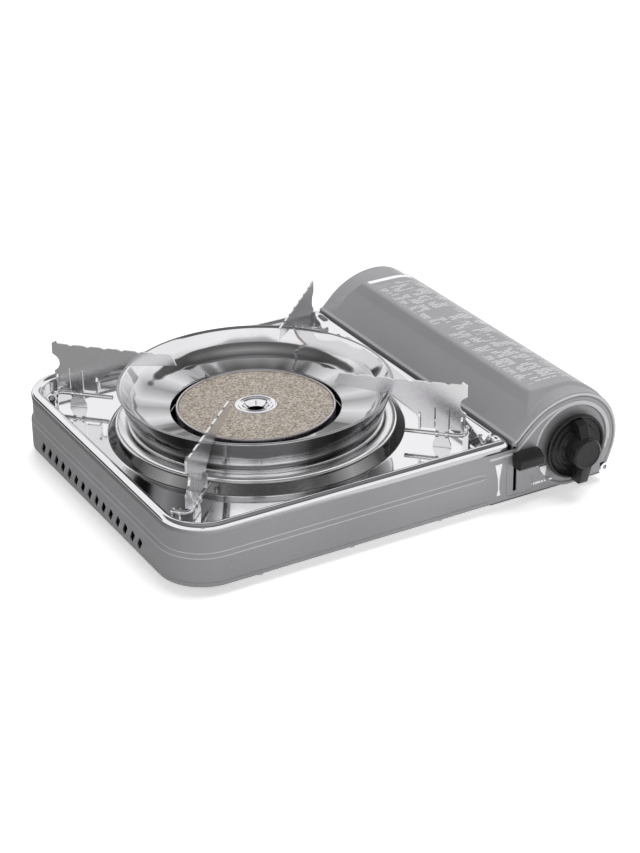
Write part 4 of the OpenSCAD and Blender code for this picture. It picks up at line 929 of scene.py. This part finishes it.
def makeBurner():
    top, low = plate['top'], plate['top'] - plate['thickness']
    piece = lathe('ceramicPlate', (*burner, 0), ringSection(plate['hole'], plate['radius'], low, top, 0.3, 0.6, 3))
    dress(piece, ceramic, 'case', ['burner_ceramic'])
    section = ringSection(ring['inner'], ring['outer'], ring['low'], ring['top'], 0.5, 0.7, 4)
    piece = lathe('burnerRing', (*burner, 0), section, ring['sides'])
    dress(piece, burnerSteel, 'case', ['burner_outer_ring'])
    radius, bore, high = centreRing['radius'], centreRing['bore'], centreRing['top']
    # a rounded rim, then a seat that falls to the bore
    piece = lathe('centreRing', (*burner, 0), filleted([
        (radius, high - 0.8, 0), (radius, high, 0.5), (radius - 2.4, high, 1), (radius - 3.4, high - 0.45, 1),
        (bore + 1.2, high - 0.1, 0.6), (bore, high - 0.6, 0.5), (bore - 2.4, high - 5.0, 0.5), (bore - 2.4, low, 0),
        (bore + 1.5, low, 0), (bore + 1.5, high - 0.8, 0), (radius, high - 0.8, 0),
    ], 3), centreRing['sides'])
    dress(piece, mirror, 'case', ['burner_centre_ring'])


makeBurner()
print('burner made')


blade = {
    'inner': 62.0, 'outer': 153.24, 'top': 88.2, 'hook': 2.4, 'rodHeight': 49.0,
    'thickness': 1.6, 'scallop': 3.0, 'scallopDepth': 1.0, 'pitch': 13.0,
    'legs': ((118.8, 130.1), (140.9, 150.4)), 'legEnd': 53.0, 'foot': 39.4, 'footWide': 13.0, 'slit': 0.8,
    'slitTop': 69.0, 'slitFoot': 46.3, 'archTop': 68.0, 'archRadius': 12.0, 'armFoot': (100.2, 75.4),
    'noseRun': 3.6, 'noseDrop': 8.0, 'heelDrop': 8.6, 'hollow': 6.6, 'fold': 1.4, 'foldWidth': 5.2, 'foldTop': 65.0,
    'knuckleBore': 1.55, 'knuckleRadius': 2.7, 'knuckleLong': 2.3, 'knuckleStarts': (-4.6, 2.3),
}
rod = {'radius': 1.5, 'inner': 108.54, 'hinge': 151.04, 'bend': 4.0, 'end': 12.5, 'sides': 20}
supportPlaces = {
    'front_right': (1, 1), 'front_left': (-1, 1), 'rear_right': (1, -1), 'rear_left': (-1, -1),
}


def fromBurner(r, side, z):
    # a place on a support's own line: distance from the burner, to its left, and height, in mm
    return mm(burner[0] + r, burner[1] + side, z)


def bladeOutline():
    s = blade
    top, end = s['top'], s['outer'] - 4
    line = [(s['inner'] - s['noseRun'], top - s['noseDrop']), (s['inner'], top)]
    lift = s['scallop'] - s['scallopDepth']
    reachIn = math.sqrt(s['scallop'] ** 2 - lift ** 2)
    turn = math.degrees(math.asin(reachIn / s['scallop']))
    r = s['inner'] + 12
    while r <= s['outer'] - 10:
        line += arcOf((r, top + lift), s['scallop'], 270 - turn, 270 + turn, 5)
        r += s['pitch']
    line += [(end - 0.8, top), (end, top + s['hook']), (s['outer'], top), (s['outer'], top - s['heelDrop'])]
    line += arcOf((s['outer'] + 1.4, top - 15.4), s['hollow'], 100, 250, 10)[1:]
    # two short legs beside the tongue that stands on the tray
    (a0, a1), (b0, b1) = s['legs']
    slit, foot, sheet = s['slit'], s['foot'], s['thickness']
    tongue, half, flare = (a1 + b0) / 2, (b0 - a1) / 2 - slit, s['footWide'] / 2
    line += [(b1, s['legEnd']), (b0, s['legEnd']), (b0, s['slitTop']), (b0 - slit, s['slitTop'])]
    line += [(tongue + half, s['slitFoot']), (tongue + flare, foot + sheet), (tongue + flare, foot)]
    line += [(tongue - flare, foot), (tongue - flare, foot + sheet), (tongue - half, s['slitFoot'])]
    line += [(a1 + slit, s['slitTop']), (a1, s['slitTop']), (a1, s['legEnd']), (a0, s['legEnd'])]
    arch = s['archRadius']
    line += arcOf((a0 - arch, s['archTop'] - arch), arch, 0, 50, 6)
    return line + [s['armFoot']]


def makeBlade():
    s = blade
    half, low, wide = s['thickness'] / 2, s['legEnd'] - 1, s['foldWidth'] / 2
    body = flatPlate('blade', bladeOutline(), 2 * half, lambda a, b, t: fromBurner(a, t - half, b))
    roundEdges(body, 0.25, 2, 40)
    extras = []
    # the legs' outer edges are folded
    for r in (s['legs'][0][0], s['legs'][1][1] - s['fold']):
        outline = filleted([
            (-wide, low, 0), (-wide, s['foldTop'] - 3, 3), (-half, s['foldTop'], 2),
            (half, s['foldTop'], 2), (wide, s['foldTop'] - 3, 3), (wide, low, 0),
        ], 4)
        fold = flatPlate('fold', outline, s['fold'], lambda a, b, t, r=r: fromBurner(r + t, a, b))
        roundEdges(fold, 0.4, 3, 40)
        extras.append(fold)
    # knuckles hold the rod on both sides of the tongue
    middle = burner[0] + (s['legs'][0][1] + s['legs'][1][0]) / 2
    for start in s['knuckleStarts']:
        section = sleeveSection(s['knuckleBore'], s['knuckleRadius'], middle + start,
                                middle + start + s['knuckleLong'], 0.4, 3)
        extras.append(lathe('knuckle', (*burner, s['rodHeight']), section, 24, along='x'))
    return joinUp([body] + extras, 'supportBlade')


def makeRod():
    s = rod
    deselect()
    bpy.ops.mesh.primitive_circle_add(
        vertices=s['sides'], radius=s['radius'] / 1000, fill_type='NGON',
        location=fromBurner(s['inner'], 0, blade['rodHeight']), rotation=(0, math.radians(90), 0))
    piece = bpy.context.object
    settle(piece)
    bpy.ops.object.mode_set(mode='EDIT')
    bpy.ops.mesh.select_all(action='SELECT')
    bendAt = s['hinge'] - s['bend']
    pushTo((bendAt - s['inner'], 0, 0))
    bpy.ops.mesh.spin(
        steps=8, angle=math.radians(-90), center=fromBurner(bendAt, s['bend'], 0), axis=(0, 0, 1))
    pushTo((0, s['end'] - s['bend'], 0))
    tidyMesh(piece)
    roundEdges(piece, 0.35, 2, 60)
    piece.name = 'supportRod'
    return piece


def placeSupport(piece, name, right, front):
    # the piece is modelled along +X from the burner; it is turned to its corner and mirrored there
    copy = twin(piece, name)
    flip = Matrix.Diagonal((right, front, 1, 1)) @ Matrix.Rotation(math.radians(-45), 4, 'Z')
    middle = mm(*burner, 0)
    copy.matrix_world = Matrix.Translation(middle) @ flip @ Matrix.Translation(-middle)
    settle(copy)
    if right * front < 0:
        onAll(copy, bpy.ops.mesh.normals_make_consistent, inside=False)
    return copy


def makeSupports():
    oneBlade, oneRod = makeBlade(), makeRod()
    for place, (right, front) in supportPlaces.items():
        copy = placeSupport(oneBlade, 'supportBlade_' + place, right, front)
        dress(copy, polished, 'support_' + place, ['support_blade_' + place], flatFaces=True)
        copy = placeSupport(oneRod, 'supportRod_' + place, right, front)
        dress(copy, polished, 'support_' + place, ['support_rod_' + place])
    for piece in (oneBlade, oneRod):
        bpy.data.objects.remove(piece, do_unlink=True)


makeSupports()
print('pan supports made')


lid = {
    'leftX': 255.9, 'lowLeft': 48.4, 'topLeft': 52.4, 'flat': 2.4, 'arch': (306.0, 37.5), 'radius': 39.0,
    'shoulderRadius': 57.0, 'slant': 22.0, 'lowRight': 11.0, 'back': 270.0, 'band': 3.2,
    'raisedFoot': (256.7, 50.4), 'raisedShoulder': (273.9, 71.3), 'raisedEdge': (279.5, 79.3), 'raisedRadius': 40.6,
    'raisedFront': 15.3, 'raisedBack': 241.7, 'slopeRun': 9.3, 'slopeDrop': 12.1, 'sheet': 0.8,
    'raisedRight': 345.0, 'angleSteps': 170, 'blendWidth': 1.5, 'riseFrom': 3.5, 'riseTo': 9.0, 'fallFrom': 20.0,
    'fallTo': 14.0, 'hinge': (336.0, 11.0), 'barrel': 2.9, 'bore': 1.45, 'barrelLong': 19.4,
    'barrelStarts': (12.3, 238.3), 'gapStarts': (2.1, 30.1, 228.1, 256.1), 'gapLong': 11.8, 'gapRadius': 3.5,
    'ridgeInset': 1.7, 'ridgeWide': 1.6, 'ridgeProud': 0.45, 'ridgeRound': 0.42,
    'eyeBore': 1.5, 'eyeRadius': 3.5, 'eyeFront': -0.5, 'eyeBack': 3.4,
}


def lidLine():
    s = lid
    x, z = s['arch']
    sideX = x + s['radius'] * math.cos(math.radians(s['slant']))
    sideZ = z - s['radius'] * math.sin(math.radians(s['slant']))
    run = (sideZ - s['lowRight']) * math.tan(math.radians(s['slant']))
    top = z + s['radius']
    foot = s['leftX'] + s['flat']
    line = filleted([
        (s['leftX'], s['lowLeft'], 0), (s['leftX'], s['topLeft'], 0.9), (foot, s['topLeft'], 2.5),
        (foot + 4, s['topLeft'] + 4, 0),
    ], 4)
    line += arcOf((x, top - s['shoulderRadius']), s['shoulderRadius'], 135, 90, 24)
    line += arcOf((x, z), s['radius'], 90, -s['slant'], 60)[1:]
    return line + [(sideX - run, s['lowRight'])]


def raisedLine():
    s = lid
    top = s['raisedEdge'][1]
    middle = (s['raisedRight'] - s['raisedRadius'], top - s['raisedRadius'])
    line = filleted([
        (*s['raisedFoot'], 0), (*s['raisedShoulder'], 6), (*s['raisedEdge'], 3), (middle[0] - 2, top, 0),
    ], 6)
    return line + arcOf(middle, s['raisedRadius'], 90, 0, 48)


def reach(line, middle, angle):
    # how far a line lies from the arch's middle at an angle
    way = Vector((math.cos(angle), math.sin(angle)))
    best = 0
    for a, b in zip(line, line[1:]):
        start, step = Vector(a) - Vector(middle), Vector(b) - Vector(a)
        cross = way.x * step.y - way.y * step.x
        if abs(cross) < 1e-9:
            continue
        far = (start.x * step.y - start.y * step.x) / cross
        along = (start.x * way.y - start.y * way.x) / cross
        if far > 0 and -1e-6 <= along <= 1 + 1e-6:
            best = max(best, far)
    return best


def softMax(a, b, width):
    # the larger of two values, rounded where they cross
    if width <= 0:
        return max(a, b)
    mix = min(1, max(0, 0.5 + 0.5 * (a - b) / width))
    return b * (1 - mix) + a * mix + width * mix * (1 - mix)


def makeLid():
    s = lid
    middle = s['arch']
    body, raised = lidLine(), raisedLine()
    first = math.atan2(body[0][1] - middle[1], body[0][0] - middle[0])
    last = math.atan2(body[-1][1] - middle[1], body[-1][0] - middle[0])
    steps = s['angleSteps']
    angles = [first + (last - first) * i / steps for i in range(steps + 1)]
    angles += [math.atan2(z - middle[1], x - middle[0]) for x, z in body[1:12]]
    angles = sorted(set(round(a, 6) for a in angles if last <= a <= first), reverse=True)
    bodyReach = [reach(body, middle, min(first - 1e-6, max(last + 1e-6, a))) for a in angles]
    raisedReach = [reach(raised, middle, a) for a in angles]

    def ringAt(y, inward=0.0):
        # one line of points across the lid; the raised middle slopes down to its two ends
        points = []
        near, far = s['raisedFront'], s['raisedBack']
        drop = max(near - y, y - far, 0) * s['slopeDrop'] / s['slopeRun']
        cap = s['raisedEdge'][1] - drop - middle[1]
        fall = softStep(s['back'] - s['fallFrom'], s['back'] - s['fallTo'], y)
        grown = softStep(s['riseFrom'], s['riseTo'], y) * (1 - fall)
        for angle, own, high in zip(angles, bodyReach, raisedReach):
            width = s['blendWidth'] * softStep(0.5, 1.1, angle)
            r = own
            if high > 0:
                lifted = own + (high - own) * grown if high > own else high
                if math.sin(angle) > 0.1:
                    lifted = -softMax(-lifted, -cap / math.sin(angle), width)
                r = softMax(own, lifted, width)
                r = min(r, max(own, high))
            r -= inward
            points.append(mm(middle[0] + r * math.cos(angle), y, middle[1] + r * math.sin(angle)))
        return points

    ends = [(0, s['band']), (0, 1.1), (0.35, 0.35), (1.1, 0)]
    rows = [ringAt(y, inward) for y, inward in ends]
    places = [2.2] + [3.2 + 0.7 * i for i in range(21)] + [20, 24, 30, 40, 55, 80, 110, 140, 170, 200, 220, 230, 235]
    places += [237.5 + 0.7 * i for i in range(24)] + [256, 260, 264, 266.5]
    rows += [ringAt(y) for y in places]
    rows += [ringAt(s['back'] - y, inward) for y, inward in reversed(ends)]
    shell = sheetOf('lidShell', rows)
    faceTo(shell, mm(300, 130, 79.3), (0, 0, 1))
    thicken(shell, s['sheet'])
    return shell


def cylinderAlongY(name, x, z, radius, y0, y1, sides=48):
    deselect()
    bpy.ops.mesh.primitive_cylinder_add(
        vertices=sides, radius=radius / 1000, depth=(y1 - y0) / 1000, location=mm(x, (y0 + y1) / 2, z),
        rotation=(math.radians(90), 0, 0))
    piece = bpy.context.object
    piece.name = name
    settle(piece)
    return piece


def makeLidPiece():
    s = lid
    shell = makeLid()
    x, z = s['hinge']
    for y in s['gapStarts']:
        cutOut(shell, cylinderAlongY('cutter', x, z, s['gapRadius'], y, y + s['gapLong']))
    barrels = []
    for y in s['barrelStarts']:
        section = sleeveSection(s['bore'], s['barrel'], y, y + s['barrelLong'], 0.3, 2)
        barrels.append(lathe('barrel', (x, 0, z), section, 32, along='y'))
    piece = joinUp([shell] + barrels, 'lidShell')
    dress(piece, lidPaint, 'lid', ['lid'], smooth=30)
    axis = mm(s['arch'][0], 0, s['arch'][1])

    def inside(face):
        way = face.center - axis
        return face.normal.dot(Vector((way.x, 0, way.z))) < 0

    return secondFinish(piece, paint, inside)


def makeLidRidge():
    # the rolled front edge of the lid, a real ridge in the lighter paint that stands for its highlight
    s = lid
    line = insetLine(lidLine()[6:-1], s['ridgeInset'])
    piece = ribbon('lidRidge', line, s['ridgeWide'], s['ridgeProud'], s['ridgeRound'])
    return dress(piece, highlightPaint, 'lid', [], smooth=40)


def makeHingeEye():
    # the rolled eye at the front end of the hinge
    s = lid
    x, z = s['hinge']
    section = ringSection(s['eyeBore'], s['eyeRadius'], s['eyeBack'], s['eyeFront'], 0.5, 0.9, 4)
    piece = lathe('hingeEye', (x, 0, z), section, 40, along='y')
    return dress(piece, polished, 'lid', [])


makeLidPiece()
makeLidRidge()
makeHingeEye()
print('lid made')


case = {
    'foot': 7.0, 'step': 28.5, 'stepTop': 31.6, 'stepIn': 1.8, 'rim': 45.9, 'corner': 33.5, 'depth': 273.0,
    'fadeFrom': 228.0, 'fadeTo': 238.0, 'fadeSteps': 9, 'backEnd': 255.9, 'sheet': 0.8, 'lip': 6.0, 'wallX': 332.0,
    'back': 270.0, 'groove': (10.3, 10.5, 10.7), 'grooveDeep': 0.25,
    'vents': 15, 'ventPitch': 11.6, 'ventY': 63.0, 'ventZ': 16.5, 'ventWide': 4.8, 'ventHigh': 9.4, 'ventLean': 33.0,
    'ventRound': 1.2, 'panelLeft': 259.45, 'lidGap': 0.35, 'panelFoot': [(335.4, 15.6), (331.8, 15.0)],
    'recess': 29.5, 'recessDepth': 1.0, 'slotX': 258.4, 'slotWide': 2.8, 'slotLow': 13.3, 'slotTop': 41.1,
    'highlightBands': ((-0.7, 0.3), (2.8, 3.8)),  # heights over the step that are painted lighter, a painted highlight
}
rightHalf = 300.0  # what lies further right is the lid's right half


def blockCutter(place, size, lean=0):
    # size in mm; lean in degrees about x
    deselect()
    bpy.ops.mesh.primitive_cube_add(
        size=1, location=place, rotation=(math.radians(lean), 0, 0), scale=[a / 1000 for a in size])
    cutter = bpy.context.object
    settle(cutter)
    return cutter


def makeWalls():
    s = case
    depth, r = s['depth'], s['corner']
    low, mid, high = s['groove']
    section = filleted([
        (s['lip'], s['foot'], 0), (0, s['foot'], 1.0), (0, low, 0), (s['grooveDeep'], mid, 0), (0, high, 0),
        (0, s['step'], 1.3), (s['stepIn'], s['stepTop'], 1.3), (s['stepIn'], s['rim'], 0),
    ], 4)
    wall = drawChain('caseWall', [mm(s['fadeTo'], d, z) for d, z in section])
    span = s['fadeTo'] - s['fadeFrom']
    for i in range(s['fadeSteps']):
        pushTo((-span / s['fadeSteps'], 0, 0))
    pushTo((r - s['fadeFrom'], 0, 0))
    spinQuarter(r, r)
    pushTo((0, depth - 2 * r, 0))
    spinQuarter(r, depth - r)
    pushTo((s['backEnd'] - r, 0, 0))
    # the step runs out towards the flush panel
    mesh = bmesh.from_edit_mesh(wall.data)
    x0, x1 = mm(s['fadeFrom'], 0, 0).x, mm(s['fadeTo'], 0, 0).x
    frontY, fadeLow = mm(0, 0, 0).y, s['step'] / 1000 - 0.0015
    for vertex in mesh.verts:
        if vertex.co.x > x0 and vertex.co.y < 0 and vertex.co.z > fadeLow:
            fade = softStep(x0, x1, vertex.co.x)
            vertex.co.y = frontY + (vertex.co.y - frontY) * (1 - fade)
    bmesh.update_edit_mesh(wall.data)
    tidyMesh(wall)
    faceTo(wall, mm(0, depth / 2, 20), (-1, 0, 0))
    thicken(wall, s['sheet'])
    cutters = []
    for i in range(s['vents']):
        place = mm(s['sheet'] / 2, s['ventY'] + i * s['ventPitch'], s['ventZ'])
        cutter = blockCutter(place, (4, s['ventWide'], s['ventHigh']), s['ventLean'])
        roundEdges(cutter, s['ventRound'], 3, 60)
        cutters.append(cutter)
    cutOut(wall, joinUp(cutters, 'ventCutter'))
    return wall


def panelOutline(fromX):
    s = case
    rim = insetLine(lidLine()[8:-1], lid['band'] + s['lidGap'])
    line = [(fromX, s['foot']), (fromX, s['rim']), (s['panelLeft'], s['rim'])]
    line += [p for p in rim if p[1] > s['rim'] + 0.5 or p[0] > rightHalf]
    return line + s['panelFoot'] + [(s['panelFoot'][-1][0], s['foot'])]


def makePanels():
    s = case
    foot, sheet, depth, backY, endX = s['foot'], s['sheet'], s['depth'], s['back'], s['backEnd']
    front = flatPlate('frontPanel', panelOutline(s['fadeTo'] - 0.01), sheet, lambda a, b, t: mm(a, t, b))
    x, z = lid['arch']
    cutOut(front, cylinderAlongY('cutter', x, z, s['recess'] + 0.5, -2, 3, 128))
    place = mm(s['slotX'], sheet / 2, (s['slotLow'] + s['slotTop']) / 2)
    cutOut(front, blockCutter(place, (s['slotWide'], 6, s['slotTop'] - s['slotLow'])))
    dishing = lathe('recess', (x, 0, z), filleted([
        (s['recess'] + 0.5, 0, 0), (s['recess'], 0, 0.4), (s['recess'] - 0.5, s['recessDepth'], 0.5),
        (4.5, s['recessDepth'], 0),
    ], 4), 128, along='y')
    faceTo(dishing, mm(x + 15, 1, z), (0, -1, 0))
    thicken(dishing, sheet)
    back = flatPlate('backPanel', panelOutline(endX - 0.01), sheet, lambda a, b, t: mm(a, backY - t, b))
    returnSheet = flatPlate('backReturn', [
        (backY - sheet, foot), (depth, foot), (depth, s['step']), (depth - s['stepIn'], s['stepTop']),
        (depth - s['stepIn'], s['rim']), (backY - sheet, s['rim']),
    ], sheet, lambda a, b, t: mm(endX + t, a, b))
    rails = []
    for name, startX, y, inward in (('frontLip', s['fadeTo'], 0, 1), ('backLip', endX, backY, -1)):
        rail = drawChain(name, [mm(startX, y, foot), mm(startX, y + inward * s['lip'], foot)])
        pushTo((s['wallX'] - startX, 0, 0))
        tidyMesh(rail)
        faceTo(rail, mm(rightHalf, y, foot), (0, 0, -1))
        thicken(rail, sheet)
        rails.append(rail)
    wallX = s['wallX']
    bottomEdge = filleted([(wallX - s['lip'], foot, 0), (wallX, foot, 0.8), (wallX, foot + s['lip'], 0)])
    side = drawChain('rightWall', [mm(a, sheet, b) for a, b in bottomEdge])
    pushTo((0, backY - 2 * sheet, 0))
    tidyMesh(side)
    faceTo(side, mm(wallX, 130, 10), (1, 0, 0))
    thicken(side, sheet)
    return [front, dishing, back, returnSheet, side] + rails


details = {
    'beadStart': (237.0, 42.6), 'beadInset': 7.4, 'beadWide': 2.0, 'beadProud': 0.55, 'beadRound': 0.495,
    'slotFrame': (252.0, 9.6, 273.4, 41.6, 3.0),  # left, low, right, top and corner radius
    'frameWide': 1.3, 'frameProud': 0.4, 'frameRound': 0.36, 'frameHook': 11.0,
    # the last height, in mm, is where the ridges' painted highlight stops going down
    'ringRadius': 30.6, 'ringWide': 1.8, 'ringProud': 0.5, 'highlightFrom': 27.0,
    'wedge': [(241.8, 37.4), (247.6, 37.4), (245.6, 26.0), (245.4, 18.0), (246.6, 13.0), (243.4, 13.0),
              (244.6, 18.0), (244.2, 26.0)],
    'cup': [(279.4, 26.0), (285.2, 26.0), (284.0, 18.2), (280.8, 18.2)],
    'bars': ((272.6, 2.6), (275.8, 4.4), (280.8, 1.6), (283.2, 3.4), (287.2, 3.0)),  # start and width
    'barLow': 13.6, 'barTop': 15.2, 'markProud': 0.12,
}


def makeDetails():
    s = details
    x, z = lid['arch']
    startX, startZ = s['beadStart']
    # the bead runs level from the left, then follows the lid's arch
    arch = insetLine(lidLine()[8:-1], s['beadInset'])
    follow = [p for p in arch if (p[0] > rightHalf or p[1] > startZ + 2.5) and (p[0] < rightHalf or p[1] > z - 4)]
    line = filleted([(startX, startZ, 0), (follow[0][0] - 3.0, startZ, 4), (*follow[1], 0)], 4) + follow[2:]
    bead = ribbon('beadRidge', line, s['beadWide'], s['beadProud'], s['beadRound'])
    left, low, right, top, r = s['slotFrame']
    loop = filleted([(left, top, 0), (left, low, r), (right, low, r), (right, low + s['frameHook'], 0)], 5)
    piece = ribbon('slotRidge', loop, s['frameWide'], s['frameProud'], s['frameRound'])
    dress(piece, paint, 'case', [], smooth=40)
    middle, half = s['ringRadius'], s['ringWide'] / 2
    section = ringSection(middle - half, middle + half, 0.2, -s['ringProud'], 0.4, 0.4, 4)
    # the bead and the ring round the recess are real ridges in the lighter paint, a painted highlight; below a set
    # height they keep the plain grey
    piece = joinUp([bead, lathe('recessRing', (x, 0, z), section, 128, along='y')], 'panelRidges')
    dress(piece, highlightPaint, 'case', [], smooth=40)
    secondFinish(piece, paint, lambda face: face.center.z * 1000 < s['highlightFrom'])
    # plain marks beside the lever
    low, top = s['barLow'], s['barTop']
    outlines = [s['wedge'], s['cup']]
    outlines += [[(a, low), (a + wide, low), (a + wide, top), (a, top)] for a, wide in s['bars']]
    root = 0.2
    marks = [flatPlate('mark', outline, s['markProud'] + root, lambda a, b, t: mm(a, root - t, b))
             for outline in outlines]
    piece = joinUp(marks, 'panelMarks')
    dress(piece, whiteInk, 'case', [])


def makeCase():
    s = case
    pieces = [makeWalls()] + makePanels()
    piece = joinUp(pieces, 'caseShell')
    dress(piece, paint, 'case', ['lower_case'], smooth=30)
    endX, backY = mm(s['fadeTo'] - 1, 0, 0).x, 0.1

    def stepEdge(face):
        # the two edges of the step are painted lighter, a painted highlight
        over = face.center.z * 1000 - s['step']
        onWall = face.center.x < endX or face.center.y > backY
        return onWall and 0.12 < face.normal.z < 0.95 and any(low < over < high for low, high in s['highlightBands'])

    return secondFinish(piece, highlightPaint, stepEdge)


makeCase()
makeDetails()
print('case made')


knob = {
    'middle': (306.0, 37.5), 'flange': 24.2, 'back': -2.6, 'flangeFront': -6.1, 'hub': 11.2, 'front': -20.4,
    'gripWide': 8.0, 'gripLow': 24.6, 'sides': 96,
}
tab = {
    'outline': [(-1.4, 33.6), (-1.4, 44.8), (-6.6, 44.8), (-11.4, 41.2), (-11.4, 35.4), (-9.8, 33.6)],
    'left': 254.9, 'wide': 20.0,
}


def makeKnob():
    s = knob
    x, z = s['middle']
    front, flange, hub = s['flangeFront'], s['flange'], s['hub']
    body = lathe('knobBody', (x, 0, z), filleted([
        (0, s['back'], 0), (flange - 1.4, s['back'], 0.8), (flange, s['back'] - 1.2, 0.8),
        (flange - 0.4, front + 0.2, 0.8), (flange - 2.0, front, 0.6), (flange - 3.2, front + 1.6, 0.9),
        (flange - 6.4, front + 1.9, 0.9), (flange - 7.2, front + 0.7, 0.6), (hub + 2.4, front + 0.9, 1.2),
        (hub + 0.6, front - 2.6, 1.4), (hub, s['front'] + 1.2, 0.8), (hub - 1.2, s['front'], 0.6),
        (hub - 2.2, s['front'], 0.3), (hub - 2.6, s['front'] + 0.4, 0.2), (0, s['front'] + 0.4, 0),
    ], 4), s['sides'], along='y')
    # the grip stands upright across the hub
    half, low = s['gripWide'] / 2, z - s['gripLow']
    outline = filleted([
        (-4.4, z, 0), (-4.4, z - flange + 2, 0), (-8.1, low, 0.8), (-15.4, low, 1.6), (-19.6, z - hub, 1.5),
        (-19.6, z, 0), (-17.0, z + hub - 1, 1.5), (-12.6, z + flange - 4, 2.0), (-8.4, z + flange - 2.4, 1.2),
        (-4.4, z + flange - 3, 0),
    ], 4)
    grip = flatPlate('knobGrip', outline, s['gripWide'], lambda a, b, t: mm(x - half + t, a, b))
    roundEdges(grip, 1.2, 4, 40)
    piece = joinUp([body, grip], 'controlKnob')
    return dress(piece, glossPlastic, 'knob', ['knob'])


def makeTab():
    s = tab
    piece = flatPlate('leverTab', s['outline'], s['wide'], lambda a, b, t: mm(s['left'] + t, a, b))
    roundEdges(piece, 0.8, 4, 20)
    return dress(piece, blackPlastic, 'lever', ['lever_tab'])


makeKnob()
makeTab()
print('knob and lever tab made')
